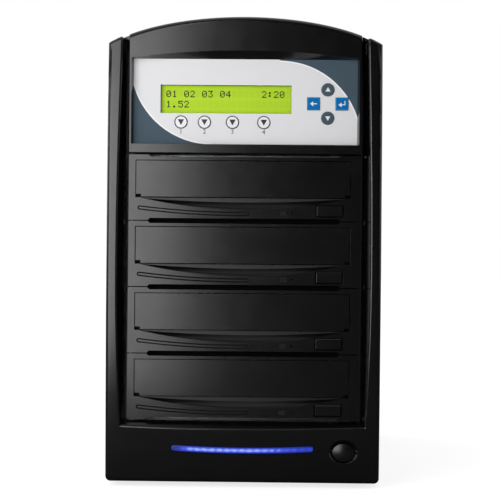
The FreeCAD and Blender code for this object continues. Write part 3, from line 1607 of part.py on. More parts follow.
def supply_case():
    sheet_thick = s.supply_sheet
    past = s.cut_past
    x = (-supply_half, supply_half)
    z = (case_floor, supply_top)
    outer = block("SupplyOuter", x, (supply_front, rear_inside), z)
    inner = block("SupplyInner", (x[0] + sheet_thick, x[1] - sheet_thick),
                  (supply_front + sheet_thick, rear_inside - sheet_thick),
                  (z[0] + sheet_thick, z[1] - sheet_thick))
    tools = [inner]
    start = rear_inside - sheet_thick - past
    deep = sheet_thick + past * 2
    rings = []
    for index in range(GRILLE_RINGS):
        low = s.grille_web + (s.grille_web + s.grille_slot) * index
        outer_ring = rod("GrilleOuter", low + s.grille_slot, (supply_fan_x, start, supply_fan_z), deep)
        inner_ring = rod("GrilleInner", low, (supply_fan_x, start - past, supply_fan_z), deep + past * 2)
        rings.append(cut("GrilleRing", outer_ring, inner_ring))
    cross = s.grille_cross / 2
    wide = s.fan_bore_radius
    bars = [
        block("GrilleLevel", (supply_fan_x - wide, supply_fan_x + wide), (start - past, start + deep + past),
              (supply_fan_z - cross, supply_fan_z + cross)),
        block("GrilleUpright", (supply_fan_x - cross, supply_fan_x + cross),
              (start - past, start + deep + past), (supply_fan_z - wide, supply_fan_z + wide)),
    ]
    tools.append(cut("GrilleSlots", fused("GrilleRings", *rings), *bars))
    for hole_x, hole_z, half_x, half_z in (
            (inlet_x, floor_z + s.inlet_height_up, s.inlet_body_half_width, s.inlet_body_half_height),
            (inlet_x, floor_z + s.switch_height_up, s.switch_body_half_width, s.switch_body_half_height)):
        tools.append(block("SupplyCutout", (hole_x - half_x - s.fit_gap, hole_x + half_x + s.fit_gap),
                           (start, start + deep), (hole_z - half_z - s.fit_gap, hole_z + half_z + s.fit_gap)))
    for hole_x, hole_z in supply_screws():
        tools.append(rod("SupplyHole", s.case_screw_radius + s.fit_gap, (hole_x, start, hole_z), deep))
    vent_z = (supply_fan_z - s.supply_vent_height / 2, supply_fan_z + s.supply_vent_height / 2)
    for index in range(SUPPLY_VENTS):
        vent_x = s.supply_vent_pitch * (index - (SUPPLY_VENTS - 1) / 2)
        tools.append(block("SupplyVent", (vent_x - s.supply_vent_width / 2, vent_x + s.supply_vent_width / 2),
                           (supply_front - past, supply_front + sheet_thick + past), vent_z))
    return finished("supply_case", cut("SupplyCase", outer, *tools))


def mains_inlet():
    z = floor_z + s.inlet_height_up
    x = inlet_x
    face = rear_inside + s.inlet_flange_thick
    flange = block("InletFlange", (x - s.inlet_flange_half_width, x + s.inlet_flange_half_width),
                   (rear_inside, face), (z - s.inlet_flange_half_height, z + s.inlet_flange_half_height))
    body = block("InletBody", (x - s.inlet_body_half_width, x + s.inlet_body_half_width),
                 (face - s.inlet_depth, rear_inside),
                 (z - s.inlet_body_half_height, z + s.inlet_body_half_height))
    hollow = block("InletHollow", (x - s.socket_half_width, x + s.socket_half_width),
                   (face - s.socket_hollow, face + s.cut_past),
                   (z - s.socket_half_height, z + s.socket_half_height))
    corner = s.socket_corner
    corners = []
    for side in (1, -1):
        wedge = block("InletCorner", (-corner, corner),
                      (face - s.socket_hollow - s.cut_past, face + s.cut_past * 2), (-corner, corner))
        wedge.Placement.Rotation = Rotation(Vector(0, 1, 0), 45)
        wedge_x = x + side * s.socket_half_width - corner * math.sqrt(2)
        wedge.setExpression("Placement.Base.x", written(wedge_x))
        wedge.setExpression("Placement.Base.z", written(z + s.socket_half_height))
        corners.append(wedge)
    keyed = cut("InletSocket", hollow, *corners)
    shell = cut("InletShell", fused("InletBlank", flange, body), keyed)
    pins = []
    for pin_x, pin_z in ((x, z + s.earth_pin_up), (x - s.pin_pitch, z - s.live_pin_down),
                         (x + s.pin_pitch, z - s.live_pin_down)):
        pins.append(block("InletPin", (pin_x - s.pin_half_width, pin_x + s.pin_half_width),
                          (face - s.socket_hollow, face - s.socket_hollow + s.pin_length),
                          (pin_z - s.pin_half_height, pin_z + s.pin_half_height)))
    return finished("mains_inlet", fused("MainsInlet", shell, *pins))


switch_z = floor_z + s.switch_height_up
switch_face = rear_inside + s.inlet_flange_thick


def switch_frame():
    x = inlet_x
    wall = s.switch_wall
    flange = block("SwitchFlange", (x - s.switch_flange_half_width, x + s.switch_flange_half_width),
                   (rear_inside, switch_face),
                   (switch_z - s.switch_flange_half_height, switch_z + s.switch_flange_half_height))
    body = block("SwitchBody", (x - s.switch_body_half_width, x + s.switch_body_half_width),
                 (switch_face - s.switch_depth, rear_inside),
                 (switch_z - s.switch_body_half_height, switch_z + s.switch_body_half_height))
    hollow = block("SwitchHollow", (x - s.switch_body_half_width + wall, x + s.switch_body_half_width - wall),
                   (switch_face - s.switch_depth + wall, switch_face + s.cut_past),
                   (switch_z - s.switch_body_half_height + wall, switch_z + s.switch_body_half_height - wall))
    pivot_reach = s.switch_body_half_height - s.pivot_skin
    pivot = rod("SwitchPivot", s.rocker_pin_radius + s.fit_gap,
                (x, switch_face - s.rocker_deep / 2, switch_z - pivot_reach), pivot_reach * 2, UP)
    return finished("switch_frame", cut("SwitchFrame", fused("SwitchBlank", flange, body), hollow, pivot))


def rocker_switch():
    x = float(inlet_x)
    z = float(switch_z)
    face = float(switch_face)
    half = float(s.switch_body_half_width - s.switch_wall - s.rocker_gap)
    tall = float(s.switch_body_half_height - s.switch_wall - s.rocker_gap)
    deep = float(s.rocker_deep)
    valley = float(s.rocker_valley)
    inset = float(s.rocker_gap)
    points = [
        Vector(x - half, face + inset, z - tall),
        Vector(x, face - valley, z - tall),
        Vector(x + half, face + inset, z - tall),
        Vector(x + half - valley, face - deep, z - tall),
        Vector(x - half + valley, face - deep, z - tall),
    ]
    edges = [line(first, last) for first, last in zip(points, points[1:] + points[:1])]
    body = Part.Face(Part.Wire(edges)).extrude(Vector(0, 0, tall * 2))
    reach = float(s.rocker_gap + s.rocker_pin_reach)
    pin = Part.makeCylinder(float(s.rocker_pin_radius), (tall + reach) * 2,
                            Vector(x, face - deep / 2, z - tall - reach), Vector(0, 0, 1))
    return finished("rocker_switch", shaped("RockerSwitch", body.fuse(pin).removeSplitter()))


# Cables: each data cable rises behind the drives to a socket of the controller, in a lane of its
# own, and each power cable runs from the supply's inner end to its drive.
def cable(points, radius):
    """A round cable along straight runs with equal bends between them."""
    bend = float(s.cable_bend)
    edges = []
    start = points[0]
    for corner, following in zip(points[1:-1], points[2:]):
        way_in = (corner - start).normalize()
        way_out = (following - corner).normalize()
        bend_start = corner - way_in * bend
        bend_end = corner + way_out * bend
        middle = corner + (way_out - way_in) * bend * (1 - math.sqrt(0.5))
        edges += [line(start, bend_start), arc(bend_start, middle, bend_end)]
        start = bend_end
    edges.append(line(start, points[-1]))
    way = (points[1] - points[0]).normalize()
    circle = Part.Circle(points[0], way, float(radius)).toShape()
    return Part.Wire(edges).makePipeShell([Part.Wire([circle])], True, False)


def drive_plug_z(index):
    """The middle height of the sockets at the back of a drive."""
    deck_top = drive_z(index) + s.shell_rise + s.shell_sheet + s.deck_thick
    return deck_top + (s.plug_height - s.deck_thick * 1.5) / 2


def data_cables():
    socket_top = controller_z + s.board_thick + s.socket_high
    socket_y = controller_front + s.controller_depth - s.socket_depth / 2
    plug_end = shell_back + s.data_plug_length
    cables = []
    for index in range(DRIVES):
        z = drive_plug_z(index)
        order = DRIVES - 1 - index
        lane = plug_end + s.data_lane_start + s.cable_bend + s.data_lane_pitch * order
        high = socket_top + s.data_plug_length + s.data_rise + s.data_lane_pitch * order
        x = socket_pitch * (index - (CONTROLLER_SOCKETS - 1) / 2)
        route = [at(0, plug_end, z), at(0, lane, z), at(0, lane, high), at(x, lane, high),
                 at(x, socket_y, high), at(x, socket_y, socket_top + s.data_plug_length)]
        half = s.data_plug_width / 2
        plug = solid_box((-half, half), (shell_back, plug_end),
                         (z - s.data_plug_height / 2, z + s.data_plug_height / 2))
        deep = s.socket_plug_depth / 2
        top_plug = solid_box((x - half, x + half), (socket_y - deep, socket_y + deep),
                             (socket_top, socket_top + s.data_plug_length))
        cables.append(shaped("DataCable", cable(route, s.data_cable_radius).fuse([plug, top_plug])))
    return finished("data_cables", group("DataCables", cables))


def power_cables():
    outlet_z = floor_z + s.power_outlet_up
    plug_end = shell_back + s.data_plug_length
    lane = plug_end + s.power_lane
    cables = []
    for index in range(DRIVES):
        z = drive_plug_z(index)
        x = s.power_outlet_inset - supply_half - s.power_outlet_pitch * index
        route = [at(x, supply_front, outlet_z), at(x, lane, outlet_z), at(x, lane, z),
                 at(s.power_plug_x, lane, z), at(s.power_plug_x, plug_end, z)]
        half = s.power_plug_width / 2
        plug = solid_box((s.power_plug_x - half, s.power_plug_x + half), (shell_back, plug_end),
                         (z - s.data_plug_height / 2, z + s.data_plug_height / 2))
        cables.append(shaped("PowerCable", cable(route, s.power_cable_radius).fuse(plug)))
    return finished("power_cables", group("PowerCables", cables))


front_frame()
light_bar()
power_button()
front_board()
control_panel()
panel_overlay()
display_module()
for key_name, key_x, key_z, key_is_square in key_places():
    panel_key(key_name, key_x, key_z, key_is_square)
key_board()
for drive in range(DRIVES):
    drive_bezel(drive)
    drive_door(drive)
    drive_tray(drive)
    eject_button(drive)
    drive_shell(drive)
    drive_mechanism(drive)
chassis()
rear_panel()
wrap_cover()
rubber_feet()
drive_cage()
controller_board()
case_screws()
machine_screws()
fan_screws()
supply_fan_back = rear_inside - s.supply_sheet
fan_frame("case_fan_frame", 0, case_fan_z, rear_inside)
fan_rotor("case_fan_rotor", 0, case_fan_z, rear_inside)
fan_guard()
supply_case()
fan_frame("supply_fan_frame", supply_fan_x, supply_fan_z, supply_fan_back)
fan_rotor("supply_fan_rotor", supply_fan_x, supply_fan_z, supply_fan_back)
mains_inlet()
switch_frame()
rocker_switch()
data_cables()
power_cables()

doc.recompute()
for thing in doc.Objects:
    if "Invalid" in thing.State or "Error" in thing.State:
        raise RuntimeError(f"{thing.Name} {thing.State}")
os.makedirs("parts", exist_ok=True)
for piece in NODES:
    shape = piece.Shape
    if shape.isNull() or not shape.isValid() or not shape.Solids:
        raise RuntimeError(f"{piece.Label} has no sound solid")
    shape.exportStep(f"parts/{piece.Label}.step")
    print(piece.Label, len(shape.Solids), round(shape.Volume))
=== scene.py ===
import math

import bmesh
import bpy
from mathutils import Matrix, Vector


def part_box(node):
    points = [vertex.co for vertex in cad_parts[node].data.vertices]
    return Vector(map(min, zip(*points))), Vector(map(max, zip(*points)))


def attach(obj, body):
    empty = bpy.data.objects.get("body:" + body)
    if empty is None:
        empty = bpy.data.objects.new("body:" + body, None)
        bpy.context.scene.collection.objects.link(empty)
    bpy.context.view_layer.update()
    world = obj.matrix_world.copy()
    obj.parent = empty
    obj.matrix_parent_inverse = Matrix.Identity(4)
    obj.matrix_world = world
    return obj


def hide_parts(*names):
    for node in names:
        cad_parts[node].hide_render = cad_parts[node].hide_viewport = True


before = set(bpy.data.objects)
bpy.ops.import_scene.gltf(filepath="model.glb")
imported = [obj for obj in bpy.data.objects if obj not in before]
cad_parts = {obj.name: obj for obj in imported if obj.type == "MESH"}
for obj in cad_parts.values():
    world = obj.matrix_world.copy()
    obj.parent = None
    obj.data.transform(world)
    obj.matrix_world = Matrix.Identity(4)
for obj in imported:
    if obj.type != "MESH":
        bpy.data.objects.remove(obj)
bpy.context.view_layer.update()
mm = 0.001


# Camera: a long lens straight in front, level with the tower's middle and a little right of it,
# turned back towards the tower and tilted half a degree, as the photograph is.
camera_data = bpy.data.cameras.new("FrontCamera")
camera_data.lens = 131
camera_data.sensor_width = 36
camera = bpy.data.objects.new("FrontCamera", camera_data)
camera.location = (0.025, -1.315, 0.1490)
camera.rotation_euler = (math.radians(90), math.radians(-0.516), math.radians(1.06))
bpy.context.scene.collection.objects.link(camera)
bpy.context.scene.camera = camera


# Front frame: one injection moulding in black ABS with a fine satin grain, its cheeks and chin
# rounded at every edge. It clips over the front of the steel case.
class Value:
    """A shader socket that takes part in arithmetic."""

    def __init__(self, finish, socket):
        self.finish = finish
        self.socket = socket

    def math(self, operation, *values):
        return self.finish.node("ShaderNodeMath", {"operation": operation}, dict(enumerate(values)))

    def __add__(self, other):
        return self.math("ADD", self, other)

    def __radd__(self, other):
        return self.math("ADD", other, self)

    def __sub__(self, other):
        return self.math("SUBTRACT", self, other)

    def __rsub__(self, other):
        return self.math("SUBTRACT", other, self)

    def __mul__(self, other):
        return self.math("MULTIPLY", self, other)

    def __rmul__(self, other):
        return self.math("MULTIPLY", other, self)

    def __truediv__(self, other):
        return self.math("DIVIDE", self, other)

    def __pow__(self, other):
        return self.math("POWER", self, other)

    def __gt__(self, other):
        return self.math("GREATER_THAN", self, other)

    def __lt__(self, other):
        return self.math("LESS_THAN", self, other)

    def __mod__(self, other):
        return self.math("FLOORED_MODULO", self, other)

    def __abs__(self):
        return self.math("ABSOLUTE", self)


class Finish:
    """A surface finish: a material with one Principled shader, built node by node."""

    def __init__(self, name):
        self.material = bpy.data.materials.new(name)
        self.material.use_nodes = True
        self.tree = self.material.node_tree
        self.shader = self.tree.nodes["Principled BSDF"]
        self.place = None

    def node(self, kind, settings=(), inputs=(), output=0):
        """Adds a node: its type, its settings, then the values or links of its sockets."""
        made = self.tree.nodes.new(kind)
        for key, value in dict(settings).items():
            if key == "stops":
                ramp = made.color_ramp
                for position, colour in value[1:-1]:
                    ramp.elements.new(position).color = colour
                for element, (position, colour) in zip(ramp.elements, value):
                    element.position = position
                    element.color = colour
            else:
                setattr(made, key, value)
        for key, value in dict(inputs).items():
            self.give(made.inputs[key], value)
        return Value(self, made.outputs[output])

    def give(self, socket, value):
        if isinstance(value, Value):
            self.tree.links.new(value.socket, socket)
        else:
            socket.default_value = value

    def point(self):
        """The place on the object, in metres."""
        if self.place is None:
            self.place = self.node("ShaderNodeTexCoord", output=3)
        return self.place

    def axis(self, name):
        """One coordinate of the place on the object."""
        return self.node("ShaderNodeSeparateXYZ", {}, {0: self.point()}, "XYZ".index(name))

    def noise(self, size, detail=2.0, rough=0.5, stretch=(1, 1, 1)):
        """Even noise from 0 to 1 whose blobs have a size in metres."""
        place = self.node("ShaderNodeVectorMath", {"operation": "MULTIPLY"},
                          {0: self.point(), 1: [side / size for side in stretch]})
        return self.node("ShaderNodeTexNoise", {},
                         {"Vector": place, "Scale": 1.0, "Detail": detail, "Roughness": rough})

    def range(self, value, low, high, to_low=0.0, to_high=1.0, smooth=True):
        """A value moved from one range into another, smoothly and clamped."""
        kind = "SMOOTHSTEP" if smooth else "LINEAR"
        return self.node("ShaderNodeMapRange", {"interpolation_type": kind, "clamp": True},
                         {0: value, 1: low, 2: high, 3: to_low, 4: to_high})

    def mix(self, factor, first, second):
        """Two colours mixed by a factor."""
        return self.node("ShaderNodeMix", {"data_type": "RGBA"}, {0: factor, 6: first, 7: second}, 2)

    def bump(self, height, distance, strength=1.0):
        """A normal from a height."""
        return self.node("ShaderNodeBump", {}, {"Height": height, "Distance": distance, "Strength": strength})

    def shade(self, **sockets):
        """Sets or links the shader's own sockets."""
        for name, value in sockets.items():
            self.give(self.shader.inputs[name], value)
        return self.material


def colour(code, alpha=1.0):
    """A linear colour from its six-digit code."""
    parts = [int(code[start:start + 2], 16) / 255 for start in (0, 2, 4)]
    linear = [part / 12.92 if part <= 0.04045 else ((part + 0.055) / 1.055) ** 2.4 for part in parts]
    return (*linear, alpha)


def moulded(name, code, rough, grain=0.00035, depth=0.000012, matt_shaded_floor=None):
    """Injection-moulded plastic: a fine grain, faint flow clouds, handling marks in the gloss, and painted
    shade in a given mask.
    """
    finish = Finish(name)
    clouds = finish.noise(0.05, 3.0)
    fine = finish.noise(grain, 2.0)
    marks = finish.noise(0.012, 5.0, 0.7)
    base = colour(code)
    paler = tuple(channel * 1.3 for channel in base[:3]) + (1,)
    body = finish.mix(finish.range(clouds, 0.35, 0.7), base, paler)
    gloss = finish.range(marks, 0.3, 0.75, rough - 0.015, rough + 0.02)
    # Painted shade: where the given mask is high, the body turns near black and matt.
    if matt_shaded_floor:
        floor = matt_shaded_floor(finish)
        body = finish.mix(floor, body, colour("030303"))
        gloss = finish.node("ShaderNodeMath", {"operation": "MAXIMUM"}, {0: gloss, 1: floor})
    finish.shade(**{"Base Color": body, "Roughness": gloss, "Normal": finish.bump(fine, depth, 0.6)})
    return finish.material


def softened(node, name, material, width, angle=30, segments=2, spared=None):
    """A copy of a CAD node with its triangles merged and its edges rounded, but not the spared ones."""
    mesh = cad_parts[node].data.copy()
    work = bmesh.new()
    work.from_mesh(mesh)
    bmesh.ops.remove_doubles(work, verts=work.verts, dist=0.002 * mm)
    bmesh.ops.dissolve_degenerate(work, edges=work.edges, dist=0.002 * mm)
    bmesh.ops.dissolve_limit(work, angle_limit=math.radians(0.4), verts=work.verts, edges=work.edges,
                             delimit={"NORMAL"})
    if spared:
        weights = work.edges.layers.float.new("bevel_weight_edge")
        for edge in work.edges:
            sharp = edge.calc_face_angle(0) > math.radians(angle)
            edge[weights] = float(sharp and not all(spared(vertex.co) for vertex in edge.verts))
    work.to_mesh(mesh)
    work.free()
    mesh.materials.clear()
    mesh.materials.append(material)
    piece = shown(name, mesh)
    bevel = piece.modifiers.new("EdgeRound", "BEVEL")
    bevel.width = width
    bevel.segments = segments
    bevel.limit_method = "WEIGHT" if spared else "ANGLE"
    bevel.angle_limit = math.radians(angle)
    applied(piece)
    evened(piece)
    return piece


def shown(name, mesh):
    """An object for a mesh, in the scene."""
    mesh.name = name
    piece = bpy.data.objects.new(name, mesh)
    bpy.context.scene.collection.objects.link(piece)
    return piece


def applied(piece):
    """Turns a piece's modifiers into its mesh."""
    ready = piece.evaluated_get(bpy.context.evaluated_depsgraph_get())
    mesh = bpy.data.meshes.new_from_object(ready)
    piece.modifiers.clear()
    piece.data = mesh
    mesh.name = piece.name
    return piece


def evened(piece, degrees=35):
    """Smooth shading that keeps sharp edges and lets large faces stay flat."""
    mesh = piece.data
    mesh.shade_smooth()
    mesh.set_sharp_from_angle(angle=math.radians(degrees))
    even = piece.modifiers.new("EvenNormals", "WEIGHTED_NORMAL")
    even.keep_sharp = True
    even.weight = 100
    return applied(piece)


def meshed(work, name, *materials, degrees=35):
    """A piece from a finished bmesh, its faces turned outwards."""
    bmesh.ops.recalc_face_normals(work, faces=work.faces)
    mesh = bpy.data.meshes.new(name)
    work.to_mesh(mesh)
    work.free()
    for material in materials:
        mesh.materials.append(material)
    return evened(shown(name, mesh), degrees)


def fitted(piece, body, slot, *nodes):
    """Lets a piece ride on its body, in place of CAD nodes. The slot is not used."""
    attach(piece, body)
    if nodes:
        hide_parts(*nodes)
    return piece


def dressed(node, name, material, width, body, slot, **more):
    """A CAD node's softened copy, riding on its body in the node's place."""
    return fitted(softened(node, name, material, width, **more), body, slot, node)


frame_plastic = moulded("SatinBlackFrame", "070708", 0.19)
frame_low, frame_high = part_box("front_frame")
side_round = 2.6 * mm
front_curve = 2.5
round_depth = 8 * mm
round_start, round_end = 8 * mm, 268 * mm
front_middle = (frame_low.z + frame_high.z) / 2


def on_side_round(point):
    """Whether a point lies on the wide round between the front and a side."""
    outside = abs(point.x) > frame_high.x - side_round - 0.03 * mm
    return outside and point.y < frame_low.y + round_depth and round_start < point.z < round_end


front_frame = softened("front_frame", "front_frame_moulding", frame_plastic, 0.3 * mm, spared=on_side_round)
shape = front_frame.data
normals = [corner.vector.copy() for corner in shape.corner_normals]
for number, corner in enumerate(shape.loops):
    point = shape.vertices[corner.vertex_index].co
    if on_side_round(point):
        aside = min(max((abs(point.x) - frame_high.x + side_round) / side_round, 0), 1)
        ahead = math.sqrt(1 - aside ** 2)
        lean = ahead * (point.z - front_middle) / front_curve
        normals[number] = Vector((math.copysign(aside, point.x), -ahead, lean)).normalized()
shape.normals_split_custom_set(normals)
fitted(front_frame, "tower", "black_plastic", "front_frame")


# Light bar: a clear acrylic light pipe pressed into the chin from behind and lit by a row of blue
# lamps. It glows brightest left of its middle, shows each lamp, and is deep blue at its rim.
light_low, light_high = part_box("light_bar")
light_sag = 1.3 * mm
light_half_height = 2.05 * mm
light_lift = 0.25 * mm
lamp_step = 4.7 * mm
glow = Finish("BlueLightPipe")
along = glow.axis("X")
lamp_wave = glow.node("ShaderNodeMath", {"operation": "COSINE"}, {0: along * (2 * math.pi / lamp_step)})
speckle = glow.noise(1.3 * mm, 3.0, 0.7)
smile = along * along * (light_sag / light_high.x ** 2)
light_middle = light_low.z + light_half_height + light_lift
across = abs((glow.axis("Z") - light_middle - smile) / light_half_height)
core = 1.0 - glow.range(across, 0.1, 1.0)
left_rise = glow.range(along, light_low.x + 0.6 * mm, light_low.x + 14 * mm, 0.05, 1.0)
right_fall = glow.range(along, 6 * mm, light_high.x - 1 * mm, 1.0, 0.4)
heat = core * left_rise * right_fall * (0.44 + lamp_wave * 0.12 + speckle * 0.86)
blue_glow = glow.node("ShaderNodeValToRGB", {"stops": [
    (0.0, colour("03052a")), (0.3, colour("1f33ac")), (0.6, colour("3f59d8")), (0.9, colour("94abff"))]},
    {0: heat})
glow.shade(**{"Base Color": colour("101a60"), "Roughness": 0.3, "Emission Color": blue_glow,
              "Emission Strength": 1.0})
dressed("light_bar", "light_bar_pipe", glow.material, 0.7 * mm, "tower", "blue_light", segments=3)


# Power button: a glossy oval dome in black ABS that stands in the dish of the chin, with a flange
# behind the wall and a stem to its switch.
button_plastic = moulded("SatinButton", "09090a", 0.3, depth=0.000003)
dressed("power_button", "power_button_cap", button_plastic, 1.3 * mm, "power_button_body",
        "button_plastic", segments=6)


# Control panel housing: the arched forehead, a black ABS moulding with the same grain as the
# frame, hollow behind and recessed in front for the overlay.
dressed("control_panel", "control_panel_housing", frame_plastic, 0.25 * mm, "tower", "black_plastic")


# Panel overlay: a thin polycarbonate sheet, printed from behind in pale grey with slate corner
# fields, die-cut round the keys, and clear in front of the display. It is glued into the recess.
overlay_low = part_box("panel_overlay")[0]
overlay_print = Finish("OverlayPrint")
across_x = overlay_print.axis("X")
across_z = overlay_print.axis("Z")
fine_grain = overlay_print.noise(0.4 * mm, 1.0)
print_cloud = overlay_print.noise(30 * mm, 2.0)


def corner_distance(centre_x, centre_z):
    """How far the print's points lie from the middle of a corner arc."""
    away_x = across_x - centre_x
    away_z = across_z - centre_z
    return (away_x * away_x + away_z * away_z) ** 0.5


arc_radius = 51.6 * mm
line_start = arc_radius - 0.9 * mm
low_x, low_z = -21.25 * mm, 267.1 * mm
high_x, high_z = 21.75 * mm, 217.1 * mm
low_reach = corner_distance(low_x, low_z)
high_reach = corner_distance(high_x, high_z)
low_side = (across_x < low_x) * (across_z < low_z)
high_side = (across_x > high_x) * (across_z > high_z)
slate_field = (low_reach > arc_radius) * low_side + (high_reach > arc_radius) * high_side
white_line = (low_reach > line_start) * low_side + (high_reach > line_start) * high_side
pale = overlay_print.mix(print_cloud, colour("d9d9db"), colour("dedee0"))
lined = overlay_print.mix(white_line, pale, colour("eeeef0"))
slate = overlay_print.mix(print_cloud, colour("3e4e5a"), colour("465661"))
printed = overlay_print.mix(slate_field, lined, slate)
window_middle = Vector((-12.3 * mm, 0, 244.1 * mm))
window_half_width, window_half_height = 41.35 * mm, 8.95 * mm
window_x = abs(across_x - window_middle.x) < window_half_width
window_z = abs(across_z - window_middle.z) < window_half_height
clear_window = window_x * window_z
overlay_print.shade(**{
    "Base Color": overlay_print.mix(clear_window, printed, colour("30381c")),
    "Roughness": overlay_print.range(fine_grain, 0.3, 0.7, 0.5, 0.6),
    "Specular IOR Level": 0.12,
    "Alpha": 1.0 - clear_window * 0.97,
    "Normal": overlay_print.bump(fine_grain, 0.004 * mm, 0.4),
})
dressed("panel_overlay", "panel_overlay_sheet", overlay_print.material, 0.12 * mm, "tower", "overlay_print")


# Key numbers: plain figures below the four function keys, printed on the overlay in slate ink.
# They are thin letters here, just in front of the sheet.
key_number_height = 2.9 * mm
key_number_drop = 6.1 * mm
key_number_ink = moulded("SlateInk", "2f3337", 0.6, depth=0.000002)


def figure(name, text, height, x, z, y, material):
    """A printed figure, centred on a place of the panel and facing the front."""
    letters = bpy.data.curves.new(name, "FONT")
    letters.body = text
    letters.size = height * 1.4
    letters.align_x = "CENTER"
    letters.align_y = "CENTER"
    letters.extrude = 0.03 * mm
    writer = bpy.data.objects.new(name, letters)
    bpy.context.scene.collection.objects.link(writer)
    mesh = bpy.data.meshes.new_from_object(writer.evaluated_get(bpy.context.evaluated_depsgraph_get()))
    bpy.data.objects.remove(writer)
    mesh.transform(Matrix.Translation((x, y, z)) @ Matrix.Rotation(math.radians(90), 4, "X"))
    mesh.materials.clear()
    mesh.materials.append(material)
    return shown(name, mesh)


def face_middle(node):
    """The middle of a CAD node, seen from the front."""
    low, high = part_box(node)
    return (low.x + high.x) / 2, (low.z + high.z) / 2


for number in range(1, 5):
    key_x, key_z = face_middle(f"function_key_{number}")
    digit = figure(f"function_number_{number}", str(number), key_number_height, key_x,
                   key_z - key_number_drop, overlay_low.y - 0.01 * mm, key_number_ink)
    fitted(digit, "tower", "overlay_print")


# Function keys: four round caps moulded in white ABS, each on a stem to its switch. The down arrow
# is printed on the face; the dark rim at the face's edge is painted shade of the gap round the key.
def key_print(name, centre, face_code, rim_code, rim_start, mark_code, mark, square=False, sheen=0.5):
    """The finish of a key cap: its face, its rim from a distance outwards, and its printed mark."""
    finish = Finish(name)
    x = finish.axis("X") - centre[0]
    z = finish.axis("Z") - centre[1]
    if square:
        reach = finish.node("ShaderNodeMath", {"operation": "MAXIMUM"}, {0: abs(x), 1: abs(z)})
    else:
        reach = (x * x + z * z) ** 0.5
    grain = finish.noise(0.4 * mm, 2.0)
    wear = finish.noise(2.5 * mm, 4.0, 0.7)
    face = finish.mix(wear * 0.35, colour(face_code), tuple(c * 0.86 for c in colour(face_code)[:3]) + (1,))
    # The rim colour from rim_start outwards: on the white keys this dark rim is painted shade of the gap
    # round the key.
    rimmed = finish.mix(finish.range(reach, rim_start, rim_start + 0.12 * mm), face, colour(rim_code))
    finish.shade(**{
        "Base Color": finish.mix(mark(finish, x, z), rimmed, colour(mark_code)),
        "Roughness": finish.range(wear, 0.3, 0.75, 0.28, 0.38),
        "Specular IOR Level": sheen,
        "Normal": finish.bump(grain, 0.006 * mm, 0.5),
    })
    return finish.material


def arrow_down(finish, x, z):
    """The function keys' arrow."""
    return (z < 1.75 * mm) * (abs(x) < (z + 2.0 * mm) * 0.54)


def arrow_up(finish, x, z):
    """The up key's arrow."""
    return (z > -1.15 * mm) * (abs(x) < (1.75 * mm - z) * 0.55)


def arrow_lower(finish, x, z):
    """The down key's arrow."""
    return (z < 1.15 * mm) * (abs(x) < (z + 1.75 * mm) * 0.55)


def arrow_left(finish, x, z):
    """The back key's sign: an arrow head on a shaft."""
    tip = (x < -0.3 * mm) * (abs(z) < (x + 2.3 * mm) * 0.8)
    shaft = (x > -0.6 * mm) * (x < 2.2 * mm) * (abs(z) < 0.32 * mm)
    return finish.node("ShaderNodeMath", {"operation": "MAXIMUM"}, {0: tip, 1: shaft})


def arrow_return(finish, x, z):
    """The enter key's sign: an arrow whose shaft turns up at its end."""
    low = z + 0.55 * mm
    tip = (x < -0.3 * mm) * (abs(low) < (x + 2.3 * mm) * 0.75)
    shaft = (x > -0.6 * mm) * (x < 2.1 * mm) * (abs(low) < 0.3 * mm)
    post = (x > 1.5 * mm) * (x < 2.1 * mm) * (z > -0.85 * mm) * (z < 1.9 * mm)
    arm = finish.node("ShaderNodeMath", {"operation": "MAXIMUM"}, {0: shaft, 1: post})
    return finish.node("ShaderNodeMath", {"operation": "MAXIMUM"}, {0: tip, 1: arm})


for number in range(1, 5):
    node = f"function_key_{number}"
    finish = key_print(f"WhiteKey{number}", face_middle(node), "e4e4e6", "4b4b50", 3.45 * mm, "17181c",
                       arrow_down)
    dressed(node, f"{node}_cap_print", finish, 0.35 * mm, f"{node}_cap", "white_key", segments=3)


# Arrow keys: two round slate caps with pale arrows; back and enter keys: two square blue caps
# with plain arrow signs.
for node, code, rim, start, mark, square, slot in (
        ("up_key", "46545e", "7c868c", 3.72 * mm, arrow_up, False, "slate_key"),
        ("down_key", "46545e", "7c868c", 3.72 * mm, arrow_lower, False, "slate_key"),
        ("back_key", "006aae", "3a90c8", 3.5 * mm, arrow_left, True, "blue_key"),
        ("enter_key", "006aae", "3a90c8", 3.5 * mm, arrow_return, True, "blue_key")):
    finish = key_print(f"{node}_finish", face_middle(node), code, rim, start, "dfe2e4", mark, square, 0.12)
    dressed(node, f"{node}_cap_print", finish, 0.35 * mm, f"{node}_cap", slot, segments=3)


# Display module: a black steel frame bent round a liquid crystal glass, backlit yellow-green,
# with two lines of twenty characters of five by seven dots.
display_frame = moulded("DisplayFrame", "1c1f1d", 0.4)
dressed("display_module", "display_module_frame", display_frame, 0.2 * mm, "tower", "display")

glass_half = (41.2 * mm, 8.8 * mm)
glass_thick = 0.62 * mm
glass_front = -163.15 * mm
glass_inset = 0.32 * mm
character_step = Vector((3.78 * mm, 0, 6.5 * mm))
first_character = (-49.9 * mm, 249.3 * mm)
dot_step = 0.6 * mm
backlight = Finish("BacklitGlass")
cell_x = (backlight.axis("X") - first_character[0] + 0.25 * mm) % character_step.x
cell_z = (backlight.axis("Z") - first_character[1] + 3.7 * mm + 10 * character_step.z) % character_step.z
in_cell = (cell_x < 5.2 * dot_step) * (cell_z < 7.2 * dot_step)
glow_fade = backlight.noise(25 * mm, 2.0)
lit = backlight.mix(glow_fade, colour("abce2d"), colour("b4d836"))
glass_colour = backlight.mix(in_cell * 0.08, lit, colour("64861c"))
backlight.shade(**{"Base Color": glass_colour, "Roughness": 0.6, "Specular IOR Level": 0.05,
                   "Emission Color": glass_colour, "Emission Strength": 0.14})


def block_at(work, middle, size):
    """Adds a rectangular block to a bmesh."""
    place = Matrix.Translation(middle) @ Matrix.Diagonal((*size, 1))
    bmesh.ops.create_cube(work, size=1, matrix=place)


